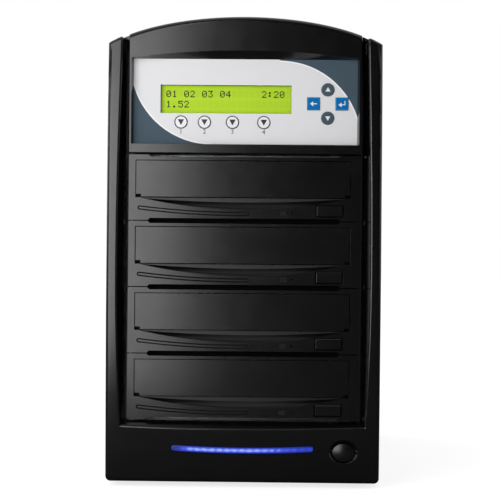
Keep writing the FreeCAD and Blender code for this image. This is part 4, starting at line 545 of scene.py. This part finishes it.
work = bmesh.new()
block_at(work, window_middle + Vector((0, glass_front + glass_inset, 0)),
         (glass_half[0] * 2, glass_thick, glass_half[1] * 2))
bmesh.ops.bevel(work, geom=work.edges[:], offset=0.12 * mm, segments=2, affect="EDGES")
glass = meshed(work, "display_glass", backlight.material)
fitted(glass, "tower", "display")

digit_dots = {
    "0": "01110 10001 10011 10101 11001 10001 01110", "1": "00100 01100 00100 00100 00100 00100 01110",
    "2": "01110 10001 00001 00010 00100 01000 11111", "3": "11111 00010 00100 00010 00001 10001 01110",
    "4": "00010 00110 01010 10010 11111 00010 00010", "5": "11111 10000 11110 00001 00001 10001 01110",
    "8": "01110 10001 10001 01110 10001 10001 01110", ":": "00000 01100 01100 00000 01100 01100 00000",
    ".": "00000 00000 00000 00000 00000 01100 01100", " ": "00000 00000 00000 00000 00000 00000 00000"}
dot_places = []
for line_number, text in enumerate(("01 02 03 04     2:20", "1.52")):
    for column, sign in enumerate(text):
        for row, bits in enumerate(digit_dots[sign].split()):
            for place, bit in enumerate(bits):
                if bit == "1":
                    dot_places.append((first_character[0] + column * character_step.x + place * dot_step,
                                       glass_front - 0.02 * mm,
                                       first_character[1] - line_number * character_step.z - row * dot_step))


class Growth:
    """A Geometry Nodes tree with named inputs, built node by node."""

    def __init__(self, name, **inputs):
        self.tree = bpy.data.node_groups.new(name, "GeometryNodeTree")
        self.tree.interface.new_socket("Geometry", in_out="INPUT", socket_type="NodeSocketGeometry")
        self.tree.interface.new_socket("Geometry", in_out="OUTPUT", socket_type="NodeSocketGeometry")
        self.values = inputs
        self.identifiers = {}
        for label, value in inputs.items():
            kind = "NodeSocketInt" if isinstance(value, int) else "NodeSocketFloat"
            socket = self.tree.interface.new_socket(label, in_out="INPUT", socket_type=kind)
            self.identifiers[label] = socket.identifier
        self.start = self.tree.nodes.new("NodeGroupInput")
        self.end = self.tree.nodes.new("NodeGroupOutput")

    def node(self, kind, settings=(), inputs=(), output=0):
        made = self.tree.nodes.new(kind)
        for key, value in dict(settings).items():
            setattr(made, key, value)
        for key, value in dict(inputs).items():
            values = value if isinstance(value, list) else [value]
            for one in values:
                if isinstance(one, bpy.types.NodeSocket):
                    self.tree.links.new(one, made.inputs[key])
                else:
                    made.inputs[key].default_value = one
        return made.outputs[output]

    def given(self, label):
        """A named input of the tree."""
        return self.start.outputs[label]

    def grown(self, piece, shape, material):
        """Realizes the tree's shape on a piece, gives it a material, and keeps the plain mesh."""
        solid = self.node("GeometryNodeRealizeInstances", {}, {0: shape})
        painted = self.node("GeometryNodeSetMaterial", {}, {"Geometry": solid, "Material": material})
        self.tree.links.new(painted, self.end.inputs[0])
        modifier = piece.modifiers.new("Growth", "NODES")
        modifier.node_group = self.tree
        for label, identifier in self.identifiers.items():
            modifier[identifier] = self.values[label]
        applied(piece)
        return piece


def places_piece(name, places, ways=None):
    """A mesh of bare points, each with the way that its instance faces."""
    mesh = bpy.data.meshes.new(name)
    mesh.from_pydata(places, [], [])
    if ways:
        facing = mesh.attributes.new("way", "FLOAT_VECTOR", "POINT")
        for number, way in enumerate(ways):
            facing.data[number].vector = way
    return shown(name, mesh)


dot_ink = moulded("DisplayDots", "0f1f08", 0.7, depth=0.000001)
dots = Growth("DisplayDotRows", Side=0.64 * mm, Thickness=0.04 * mm)
dot_size = dots.node("ShaderNodeCombineXYZ", {}, {0: dots.given("Side"), 1: dots.given("Thickness"),
                                                  2: dots.given("Side")})
dot_block = dots.node("GeometryNodeMeshCube", {}, {"Size": dot_size})
dot_points = dots.node("GeometryNodeMeshToPoints", {}, {"Mesh": dots.start.outputs[0]})
dot_rows = dots.node("GeometryNodeInstanceOnPoints", {}, {"Points": dot_points, "Instance": dot_block})
characters = dots.grown(places_piece("display_characters", dot_places), dot_rows, dot_ink)
fitted(characters, "tower", "display")


# Optical drives: each has a bezel moulded in black ABS with a finger scoop under its door, a door
# clipped to the disc tray, an eject button, and a lamp lens and an emergency hole beside the groove.
lowest_drive = 41.5 * mm
drive_pitch = 42 * mm


def eroded_floors(finish):
    """The bezels' groove and finger scoop floors behind their faces: painted shade, near black and rough, the
    scoop a third as much.
    """
    deep = finish.axis("Y")
    lift = (finish.axis("Z") - lowest_drive) % drive_pitch
    groove = (deep > -164.85 * mm) * (deep < -164.2 * mm) * (lift < 10 * mm)
    scoop = (deep > -164.5 * mm) * (deep < -162.1 * mm) * (lift > 8 * mm) * (lift < 15.5 * mm)
    return finish.node("ShaderNodeMath", {"operation": "MAXIMUM"}, {0: groove, 1: scoop * 0.36})


drive_plastic = moulded("SatinBlackDrive", "070708", 0.19)
# The bezels get painted shade on the floors of their groove and finger scoop.
bezel_plastic = moulded("SatinBlackBezel", "070708", 0.19, matt_shaded_floor=eroded_floors)
tray_plastic = moulded("TrayPlastic", "17171a", 0.42)
lens_plastic = moulded("LampLens", "2a2e2a", 0.18, depth=0.000002)
bezel_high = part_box("drive_1_bezel")[1]
lamp_x = bezel_high.x - 48.8 * mm
lamp_front = -164.7 * mm
lamp_rise = 4.8 * mm
rib_pitch = 0.9 * mm
rib_size = (4.2 * mm, 0.86 * mm, 0.34 * mm)
for number in range(1, 5):
    lift = lowest_drive + drive_pitch * (number - 1)
    drive = f"drive_{number}"
    for part, end, material, width, body, slot in (
            ("bezel", "bezel_moulding", bezel_plastic, 0.12 * mm, "tower", "drive_plastic"),
            ("door", "door_moulding", drive_plastic, 0.3 * mm, f"{drive}_tray_body", "drive_plastic"),
            ("tray", "tray_moulding", tray_plastic, 0.4 * mm, f"{drive}_tray_body", "tray_plastic"),
            ("eject_button", "eject_cap", drive_plastic, 0.18 * mm, f"{drive}_eject", "button_plastic")):
        dressed(f"{drive}_{part}", f"{drive}_{end}", material, width, body, slot)
    work = bmesh.new()
    for rib in (-1, 0, 1):
        block_at(work, (lamp_x, lamp_front, lift + lamp_rise + rib * rib_pitch), rib_size)
    bmesh.ops.bevel(work, geom=work.edges[:], offset=0.1 * mm, segments=2, affect="EDGES")
    lens = meshed(work, f"{drive}_lamp_lens", lens_plastic)
    fitted(lens, "tower", "drive_plastic")


# Slot strips: near-black matt blocks between the drive shells behind the bezels. They are painted
# shade: they stand in for the dark of the slots between the drives and hide the steel behind them.
slot_shade_finish = Finish("SlotShadeBlack")
slot_grain = slot_shade_finish.noise(0.7 * mm, 3.0, 0.6)
slot_shade_finish.shade(**{"Base Color": slot_shade_finish.mix(slot_grain, colour("020202"), colour("060606")), "Roughness": 0.95,
              "Specular IOR Level": 0.1, "Normal": slot_shade_finish.bump(slot_grain, 0.1 * mm, 0.8)})
shell_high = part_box("drive_1_shell")[1]
next_shell_low, next_shell_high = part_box("drive_2_shell")
strip_inset = 1 * mm
strip_start, strip_end = 1.5 * mm, 9.5 * mm
strip_play = 0.05 * mm
work = bmesh.new()
for number in range(3):
    strip_low = Vector((next_shell_low.x + strip_inset, next_shell_low.y + strip_start,
                        shell_high.z + drive_pitch * number + strip_play))
    strip_high = Vector((next_shell_high.x - strip_inset, next_shell_low.y + strip_end,
                         next_shell_low.z + drive_pitch * number - strip_play))
    block_at(work, (strip_low + strip_high) / 2, strip_high - strip_low)
bmesh.ops.bevel(work, geom=work.edges[:], offset=0.6 * mm, segments=3, affect="EDGES")
strips = meshed(work, "drive_slot_shade_strips", slot_shade_finish.material)
fitted(strips, "tower", "rubber")


# Drive shells, cage, chassis and rear panel: bent sheet steel with a zinc coat, whose crystals
# show as faint spangles. The drive mechanisms inside are black moulded decks.
def zinc_steel(name, code, rough, spangle=6 * mm, brushed=0.0):
    """Zinc-coated sheet steel with crystal spangles and fine rolling marks."""
    finish = Finish(name)
    place = finish.node("ShaderNodeVectorMath", {"operation": "SCALE"}, {0: finish.point(), 3: 1 / spangle})
    crystals = finish.node("ShaderNodeTexVoronoi", {}, {"Vector": place, "Scale": 1.0}, 1)
    tone = finish.node("ShaderNodeSeparateColor", {}, {0: crystals})
    rolled = finish.noise(0.6 * mm, 2.0, 0.5, (1, 1, 0.08))
    smudge = finish.noise(45 * mm, 4.0, 0.6)
    base = colour(code)
    darker = tuple(channel * 0.8 for channel in base[:3]) + (1,)
    finish.shade(**{
        "Base Color": finish.mix(tone * 0.6 + rolled * 0.3, base, darker),
        "Metallic": 1.0,
        "Roughness": finish.range(tone * 0.5 + smudge * 0.5, 0.2, 0.8, rough - 0.06, rough + 0.08),
        "Normal": finish.bump(rolled * 0.5 + tone * 0.5, 0.01 * mm, 0.35),
    })
    return finish.material


case_steel = zinc_steel("SheetSteel", "b9bcbf", 0.36)
shell_steel = zinc_steel("DriveSteel", "c4c6c8", 0.3, spangle=3 * mm)
for node in ("chassis", "rear_panel", "drive_cage"):
    dressed(node, f"{node}_plate", case_steel, 0.2 * mm, "tower", "zinc_steel")
deck_plastic = moulded("DeckPlastic", "1a1a1c", 0.45)


def recoated(node, material):
    """Gives a CAD node's own mesh a finish."""
    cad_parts[node].data.materials.clear()
    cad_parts[node].data.materials.append(material)


for number in range(1, 5):
    shell = f"drive_{number}_shell"
    dressed(shell, f"{shell}_plate", shell_steel, 0.25 * mm, "tower", "drive_steel")
    recoated(f"drive_{number}_mechanism", deck_plastic)


# Cover: one steel sheet wrapped over both sides and the top, powder coated in fine black texture,
# with lips at the rear that take the case screws.
powder = Finish("BlackPowderCoat")
orange_peel = powder.noise(0.9 * mm, 3.0, 0.6)
texture = powder.noise(0.35 * mm, 2.0, 0.6)
dust = powder.noise(60 * mm, 5.0, 0.65)
powder.shade(**{
    "Base Color": powder.mix(powder.range(dust, 0.3, 0.8), colour("141415"), colour("1c1c1d")),
    "Roughness": powder.range(orange_peel * 0.6 + dust * 0.4, 0.25, 0.75, 0.42, 0.56),
    "Normal": powder.bump(orange_peel * 0.6 + texture * 0.4, 0.05 * mm, 0.5),
})
dressed("wrap_cover", "wrap_cover_sheet", powder.material, 0.45 * mm, "tower", "black_paint", segments=3)


# Rubber feet: four discs moulded in black rubber with a rounded rim. They are glued under the
# chassis and keep it off the table.
rubber = Finish("BlackRubber")
rubber_grain = rubber.noise(0.5 * mm, 3.0, 0.6)
rubber_dust = rubber.noise(6 * mm, 4.0, 0.6)
rubber.shade(**{
    "Base Color": rubber.mix(rubber_dust, colour("1b1b1b"), colour("2a2927")),
    "Roughness": rubber.range(rubber_dust, 0.3, 0.7, 0.7, 0.85),
    "Normal": rubber.bump(rubber_grain, 0.04 * mm, 0.5),
})
dressed("rubber_feet", "rubber_feet_discs", rubber.material, 0.8 * mm, "tower", "rubber", segments=3)


# Screws: hexagon washer heads hold the cover and the power supply, pan heads the drives and the
# boards, and coarse dark screws the case fan. Every head has a cross recess.
def screw_steel(name, code, rough):
    """Plated screw steel with turning marks and a little wear."""
    finish = Finish(name)
    wear = finish.noise(1.2 * mm, 3.0, 0.6)
    turned = finish.noise(0.25 * mm, 1.0, 0.5, (1, 6, 1))
    base = colour(code)
    finish.shade(**{
        "Base Color": finish.mix(wear, base, tuple(channel * 0.7 for channel in base[:3]) + (1,)),
        "Metallic": 1.0,
        "Roughness": finish.range(wear, 0.3, 0.7, rough - 0.05, rough + 0.12),
        "Normal": finish.bump(turned, 0.01 * mm, 0.4),
    })
    return finish.material


def screws_in(node, name, slot, places, ways, material, sides, head, hexagon, shank):
    """Screws on points that face their ways: a washer, a head with a cross recess, and a shank."""
    washer_radius, washer_height = head
    head_radius, head_height = hexagon
    shank_radius, shank_length = shank
    kit = Growth(f"{name}_kit", WasherRadius=washer_radius, WasherHeight=washer_height,
                 HeadRadius=head_radius, HeadHeight=head_height, HeadSides=sides,
                 RecessLength=head_radius * 1.1, RecessWidth=head_radius * 0.26,
                 ShankRadius=shank_radius, ShankLength=shank_length)

    def turned_bar(sides_value, radius, depth, lift):
        bar = kit.node("GeometryNodeMeshCylinder", {},
                       {"Vertices": sides_value, "Radius": radius, "Depth": depth})
        shift = kit.node("ShaderNodeCombineXYZ", {}, {2: lift})
        return kit.node("GeometryNodeTransform", {}, {"Geometry": bar, "Translation": shift})

    def part_of(label, share):
        return kit.node("ShaderNodeMath", {"operation": "MULTIPLY"}, {0: kit.given(label), 1: share})

    washer = turned_bar(28, kit.given("WasherRadius"), kit.given("WasherHeight"),
                        part_of("WasherHeight", 0.5))
    top = turned_bar(kit.given("HeadSides"), kit.given("HeadRadius"), kit.given("HeadHeight"),
                     part_of("HeadHeight", 0.5))
    neck = turned_bar(16, kit.given("ShankRadius"), kit.given("ShankLength"), part_of("ShankLength", -0.5))
    slots = []
    for first, second in (("RecessLength", "RecessWidth"), ("RecessWidth", "RecessLength")):
        size = kit.node("ShaderNodeCombineXYZ", {}, {0: kit.given(first), 1: kit.given(second),
                                                     2: kit.given("HeadHeight")})
        shift = kit.node("ShaderNodeCombineXYZ", {}, {2: kit.given("HeadHeight")})
        slots.append(kit.node("GeometryNodeTransform", {}, {
            "Geometry": kit.node("GeometryNodeMeshCube", {}, {"Size": size}), "Translation": shift}))
    cross = kit.node("GeometryNodeMeshBoolean", {"operation": "UNION", "solver": "EXACT"}, {"Mesh 2": slots})
    cut_head = kit.node("GeometryNodeMeshBoolean", {"operation": "DIFFERENCE", "solver": "EXACT"},
                        {0: top, 1: cross})
    screw = kit.node("GeometryNodeJoinGeometry", {}, {0: [neck, washer, cut_head]})
    way = kit.node("GeometryNodeInputNamedAttribute", {"data_type": "FLOAT_VECTOR"}, {"Name": "way"})
    facing = kit.node("FunctionNodeAlignRotationToVector", {"axis": "Z"}, {"Vector": way})
    points = kit.node("GeometryNodeMeshToPoints", {}, {"Mesh": kit.start.outputs[0]})
    rows = kit.node("GeometryNodeInstanceOnPoints", {},
                    {"Points": points, "Instance": screw, "Rotation": facing})
    piece = kit.grown(places_piece(name, places, ways), rows, material)
    evened(piece, 30)
    return fitted(piece, "tower", slot, node)


def screw_seats(node):
    """Where each screw of a CAD node sits and which way its head faces, from its separate solids."""
    work = bmesh.new()
    work.from_mesh(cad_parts[node].data)
    bmesh.ops.remove_doubles(work, verts=work.verts, dist=0.002 * mm)
    waiting = set(work.verts)
    places, ways = [], []
    while waiting:
        reached = [waiting.pop()]
        for vertex in reached:
            for edge in vertex.link_edges:
                other = edge.other_vert(vertex)
                if other in waiting:
                    waiting.remove(other)
                    reached.append(other)
        points = [vertex.co for vertex in reached]
        low = Vector([min(point[axis] for point in points) for axis in range(3)])
        high = Vector([max(point[axis] for point in points) for axis in range(3)])
        size = high - low
        along = max(range(3), key=lambda axis: size[axis])
        middle = (low + high) / 2
        spread = max(size[axis] for axis in range(3) if axis != along) / 2
        head = [point for point in points
                if (point - middle).length_squared - (point - middle)[along] ** 2 > (0.9 * spread) ** 2]
        outwards = 1 if sum(point[along] for point in head) / len(head) > middle[along] else -1
        seat = middle.copy()
        seat[along] = min(point[along] * outwards for point in head) * outwards
        way = Vector((0, 0, 0))
        way[along] = outwards
        places.append(seat)
        ways.append(way)
    work.free()
    return places, ways


bright_screw = screw_steel("BrightScrew", "c8c9cb", 0.28)
dark_screw = screw_steel("DarkScrew", "3a3a3d", 0.38)
screws_in("case_screws", "case_screw_set", "screw_steel", *screw_seats("case_screws"), bright_screw,
          6, (4.2 * mm, 0.8 * mm), (3.8 * mm, 2.4 * mm), (1.7 * mm, 6 * mm))
screws_in("machine_screws", "machine_screw_set", "screw_steel", *screw_seats("machine_screws"), bright_screw,
          24, (2.7 * mm, 0.3 * mm), (2.55 * mm, 1.1 * mm), (1.45 * mm, 3 * mm))
screws_in("fan_screws", "fan_screw_set", "black_screw", *screw_seats("fan_screws"), dark_screw,
          24, (3.6 * mm, 0.4 * mm), (3.3 * mm, 1.4 * mm), (2.1 * mm, 10 * mm))


# Fans: one on the rear panel and one in the power supply, with frames and rotors moulded in black
# thermoplastic. Each rotor is a deep hub cup with seven swept blades.
fan_plastic = moulded("FanPlastic", "161617", 0.38)


def swept_rotor(name, body, node):
    """A fan rotor: a hub with a rounded rim, a shaft, and blades that twist and sweep."""
    middle_x, middle_z = face_middle(node)
    start, end = (corner.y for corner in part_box(node))
    work = bmesh.new()
    around, rim_steps = 56, 6
    hub, rim, wall = 18 * mm, 1.6 * mm, 2 * mm
    shaft, shaft_end = 1.5 * mm, end - 3 * mm
    profile = [(0, start)]
    for step in range(rim_steps + 1):
        lean = step / rim_steps * math.pi / 2
        profile.append((hub - rim + rim * math.sin(lean), start + rim - rim * math.cos(lean)))
    profile += [(hub, end), (hub - wall, end), (hub - wall, start + wall), (shaft, start + wall),
                (shaft, shaft_end), (0, shaft_end)]
    loops = []
    for radius, y in profile:
        if radius == 0:
            loops.append([work.verts.new((middle_x, y, middle_z))])
        else:
            turns = [2 * math.pi * step / around for step in range(around)]
            loops.append([work.verts.new((middle_x + radius * math.sin(turn), y,
                                          middle_z + radius * math.cos(turn))) for turn in turns])
    for inner, outer in zip(loops, loops[1:]):
        for step in range(around):
            after = (step + 1) % around
            corners = []
            for vertex in (inner[step % len(inner)], outer[step % len(outer)],
                           outer[after % len(outer)], inner[after % len(inner)]):
                if vertex not in corners:
                    corners.append(vertex)
            work.faces.new(corners)
    blades, spans, chords = 7, 8, 8
    blade_root, blade_length, blade_sweep = 17.2 * mm, 18.1 * mm, 5 * mm
    root_pitch, pitch_loss = 48, 14
    root_chord, chord_gain = 8.6 * mm, 1.4 * mm
    half_thickness, camber_height = 0.75 * mm, 1.5 * mm
    flattening = 0.86
    blade_middle = (start + end) / 2
    for blade in range(blades):
        base_turn = 2 * math.pi * blade / blades
        sides = []
        for face in (1, -1):
            grid = []
            for span in range(spans + 1):
                share = span / spans
                radius = blade_root + share * blade_length
                pitch = math.radians(root_pitch - pitch_loss * share)
                half_chord = root_chord + chord_gain * share
                row = []
                for chord in range(chords + 1):
                    along = chord / chords * 2 - 1
                    thick = half_thickness * (1 - along ** 4 * 0.85)
                    camber = camber_height * (1 - along ** 2)
                    off = face * thick - camber
                    tangent = along * half_chord * math.cos(pitch) + off * math.sin(pitch)
                    deep = along * half_chord * math.sin(pitch) * flattening - off * math.cos(pitch)
                    turn = base_turn + (tangent + share * share * blade_sweep) / radius
                    row.append(work.verts.new((middle_x + radius * math.sin(turn), blade_middle + deep,
                                               middle_z + radius * math.cos(turn))))
                grid.append(row)
            sides.append(grid)
        front, back = sides
        for grid in sides:
            for lower, upper in zip(grid, grid[1:]):
                for step in range(chords):
                    work.faces.new((lower[step], lower[step + 1], upper[step + 1], upper[step]))
        for step in range(chords):
            work.faces.new((front[0][step], back[0][step], back[0][step + 1], front[0][step + 1]))
            work.faces.new((front[-1][step], front[-1][step + 1], back[-1][step + 1], back[-1][step]))
        for row in range(spans):
            work.faces.new((front[row][0], front[row + 1][0], back[row + 1][0], back[row][0]))
            work.faces.new((front[row][-1], back[row][-1], back[row + 1][-1], front[row + 1][-1]))
    rotor = meshed(work, name, fan_plastic, degrees=40)
    return fitted(rotor, body, "fan_plastic", node)


for fan in ("case", "supply"):
    dressed(f"{fan}_fan_frame", f"{fan}_fan_shroud", fan_plastic, 0.4 * mm, "tower", "fan_plastic")
    swept_rotor(f"{fan}_fan_blades", f"{fan}_rotor", f"{fan}_fan_rotor")


# Fan guard: rings of steel wire welded to four spokes and eyes, then plated, and held outside the
# rear panel by the fan's screws. It keeps its CAD shape.
recoated("case_fan_guard", screw_steel("GuardWire", "cfd0d2", 0.22))


# Power supply: a box of zinc-coated sheet steel, screwed to the rear panel from outside. Its grille
# is punched in front of its fan.
dressed("supply_case", "supply_case_plate", case_steel, 0.2 * mm, "tower", "zinc_steel")


# Mains inlet: a socket in black thermoplastic with three nickel-plated pins, pushed into an opening
# of the power supply from outside.
inlet_middle_x, inlet_middle_z = 44 * mm, 60 * mm
pin_half_width, pin_half_height = 1.15 * mm, 2.15 * mm
earth_rise, live_drop, live_reach = 3 * mm, 2 * mm, 7 * mm
pins_start = 161.1 * mm
inlet = Finish("InletPlastic")
inlet_x = inlet.axis("X") - inlet_middle_x
inlet_z = inlet.axis("Z") - inlet_middle_z
earth = (abs(inlet_x) < pin_half_width) * (abs(inlet_z - earth_rise) < pin_half_height)
live = (abs(abs(inlet_x) - live_reach) < pin_half_width) * (abs(inlet_z + live_drop) < pin_half_height)
pins = (earth + live) * (inlet.axis("Y") > pins_start)
inlet_grain = inlet.noise(0.5 * mm, 2.0)
inlet.shade(**{
    "Base Color": inlet.mix(pins, inlet.mix(inlet_grain, colour("151516"), colour("1b1b1c")),
                            colour("c9c4b4")),
    "Metallic": pins,
    "Roughness": 0.42 - pins * 0.17,
    "Normal": inlet.bump(inlet_grain, 0.02 * mm, 0.5),
})
dressed("mains_inlet", "mains_inlet_socket", inlet.material, 0.35 * mm, "tower", "inlet_plastic")


# Mains switch: a black moulded frame below the inlet, with a glossy rocker that tilts on two pins.
# The rocker is marked with a line and a circle.
switch_plastic = moulded("SwitchPlastic", "161617", 0.35)
dressed("switch_frame", "switch_frame_moulding", switch_plastic, 0.35 * mm, "tower", "inlet_plastic")
rocker_finish = Finish("RockerPlastic")
rocker_middle_x, rocker_middle_z = 44 * mm, 28 * mm
mark_reach, mark_half_line = 4.2 * mm, 0.2 * mm
ring_radius, bar_half, marks_start = 1.25 * mm, 1.4 * mm, 173 * mm
rocker_x = rocker_finish.axis("X") - rocker_middle_x
rocker_z = rocker_finish.axis("Z") - rocker_middle_z
ring_x = rocker_x - mark_reach
ring_reach = (ring_x * ring_x + rocker_z * rocker_z) ** 0.5
off_mark = abs(ring_reach - ring_radius) < mark_half_line
on_mark = (abs(rocker_x + mark_reach) < mark_half_line) * (abs(rocker_z) < bar_half)
marks = (off_mark + on_mark) * (rocker_finish.axis("Y") > marks_start)
rocker_grain = rocker_finish.noise(0.5 * mm, 2.0)
rocker_finish.shade(**{
    "Base Color": rocker_finish.mix(
        marks, rocker_finish.mix(rocker_grain, colour("131314"), colour("181819")), colour("d8d8d6")),
    "Roughness": rocker_finish.range(rocker_grain, 0.3, 0.7, 0.22, 0.3),
    "Normal": rocker_finish.bump(rocker_grain, 0.01 * mm, 0.4),
})
dressed("rocker_switch", "rocker_switch_cap", rocker_finish.material, 0.4 * mm, "rocker", "rocker_plastic")


# Circuit boards: glass-epoxy cards with a green mask over copper tracks, black chips and pale
# sockets, and small switches and lamps on the front sides.
def board_finish(name, plane, parts_start, sign, part_codes):
    """A circuit board: green with tracks on the card, and the parts' own colours beyond it."""
    finish = Finish(name)
    first, second = plane[0], plane[1]
    normal_axis = finish.axis(plane[2])
    track_a = (finish.axis(first) + finish.noise(4 * mm, 1.0) * 0.6 * mm) % (1.6 * mm)
    track_b = (finish.axis(second) + finish.noise(5 * mm, 1.0) * 0.6 * mm) % (2.1 * mm)
    zones = finish.noise(14 * mm, 1.0)
    tracks = (track_a < 0.45 * mm) * (zones < 0.48) + (track_b < 0.45 * mm) * (zones > 0.52)
    mask = finish.mix(tracks, colour("0d4a2a"), colour("1d6b3e"))
    part_colour = finish.mix(finish.noise(3 * mm, 2.0), colour(part_codes[0]), colour(part_codes[1]))
    beyond = (normal_axis > parts_start) if sign > 0 else (normal_axis < parts_start)
    finish.shade(**{
        "Base Color": finish.mix(beyond, mask, part_colour),
        "Roughness": 0.36 + beyond * 0.12,
        "Normal": finish.bump(tracks * (1.0 - beyond), 0.03 * mm, 0.6),
    })
    return finish.material


for node, plane, start, sign, codes in (
        ("controller_board", "XYZ", 218.0 * mm, 1, ("17181a", "222326")),
        ("key_board", "XZY", -157.05 * mm, -1, ("3a3c3f", "b8b9b6")),
        ("front_board", "XZY", -154.25 * mm, -1, ("c9d3e6", "dfe6f2"))):
    card_finish = board_finish(f"{node}_finish", plane, start, sign, codes)
    dressed(node, f"{node}_card", card_finish, 0.12 * mm, "tower", "circuit_board")


# Cables inside the case: round data cables in red vinyl and power cables in black braided sleeves,
# each moulded into its plugs.
def cable_finish(name, first, second, ribs_size, depth):
    """A ribbed cable jacket."""
    finish = Finish(name)
    ribs = finish.noise(ribs_size, 2.0, 0.5)
    finish.shade(**{
        "Base Color": finish.mix(ribs, colour(first), colour(second)),
        "Roughness": finish.range(ribs, 0.3, 0.7, 0.4, 0.58),
        "Normal": finish.bump(ribs, depth, 0.5),
    })
    return finish.material


recoated("data_cables", cable_finish("RedVinyl", "8c1a18", "a4231f", 1.5 * mm, 0.04 * mm))
recoated("power_cables", cable_finish("BlackBraid", "1a1a1b", "28282a", 0.8 * mm, 0.1 * mm))


# Studio: a pale floor that keeps the tower's soft shadow, a surround that is white to the camera but
# dark in front so that the plastic stays black, and four soft lamps stacked at the left.
floor_finish = Finish("StudioFloor")
light_path = floor_finish.tree.nodes.new("ShaderNodeLightPath")
camera_ray = Value(floor_finish, light_path.outputs["Is Camera Ray"])
glossy_ray = Value(floor_finish, light_path.outputs["Is Glossy Ray"])
floor_finish.shade(**{
    "Base Color": floor_finish.mix(glossy_ray, (0.4, 0.4, 0.4, 1), (0.1, 0.1, 0.1, 1)),
    "Roughness": 0.9,
    "Specular IOR Level": 0.0,
    "Emission Color": floor_finish.mix(camera_ray, (0, 0, 0, 1), (1, 1, 1, 1)),
    "Emission Strength": 0.78,
})
work = bmesh.new()
bmesh.ops.create_grid(work, x_segments=1, y_segments=1, size=8)
floor_mesh = bpy.data.meshes.new("studio_floor")
work.to_mesh(floor_mesh)
work.free()
floor_mesh.materials.append(floor_finish.material)
floor = shown("studio_floor", floor_mesh)

world = bpy.data.worlds.new("Studio")
bpy.context.scene.world = world
world.use_nodes = True
sky = world.node_tree
background = sky.nodes["Background"]
rays, direction, split, ramp, either, strength = (sky.nodes.new(f"ShaderNode{kind}") for kind in (
    "LightPath", "TexCoord", "SeparateXYZ", "MapRange", "Math", "Math"))
ramp.interpolation_type = "SMOOTHSTEP"
for index, value in enumerate((0.0, -0.75, 0.1, 0.02, 1.0)):
    ramp.inputs[index].default_value = value
for joined in (either, strength):
    joined.operation = "MAXIMUM"
for source, target in ((direction.outputs["Generated"], split.inputs[0]), (split.outputs[1], ramp.inputs[0]),
                       (rays.outputs["Is Camera Ray"], either.inputs[0]),
                       (rays.outputs["Is Transmission Ray"], either.inputs[1]),
                       (ramp.outputs[0], strength.inputs[0]), (either.outputs[0], strength.inputs[1]),
                       (strength.outputs[0], background.inputs["Strength"])):
    sky.links.new(source, target)
background.inputs["Color"].default_value = (1, 1, 1, 1)


def soft_lamp(name, place, aim, width, height, power):
    """A rectangular soft lamp that faces a point."""
    lamp = bpy.data.lights.new(name, "AREA")
    lamp.shape = "RECTANGLE"
    lamp.size = width
    lamp.size_y = height
    lamp.energy = power
    holder = bpy.data.objects.new(name, lamp)
    holder.location = place
    holder.rotation_euler = (Vector(aim) - Vector(place)).to_track_quat("-Z", "Y").to_euler()
    holder.visible_camera = False
    bpy.context.scene.collection.objects.link(holder)


lamp_side, lamp_ahead, lamp_width = -0.492, -0.82, 0.816
lamp_bands = ((0.005, 0.1, 4.2), (0.1, 0.19, 4.7), (0.19, 0.38, 5.0), (0.38, 0.8, 3.5))
for number, (low, high, radiance) in enumerate(lamp_bands):
    middle = (low + high) / 2
    soft_lamp(f"KeyLamp{number + 1}", (lamp_side, lamp_ahead, middle), (lamp_side, 0, middle),
              lamp_width, high - low, radiance * math.pi * lamp_width * (high - low))

bpy.context.scene.view_settings.view_transform = "Standard"
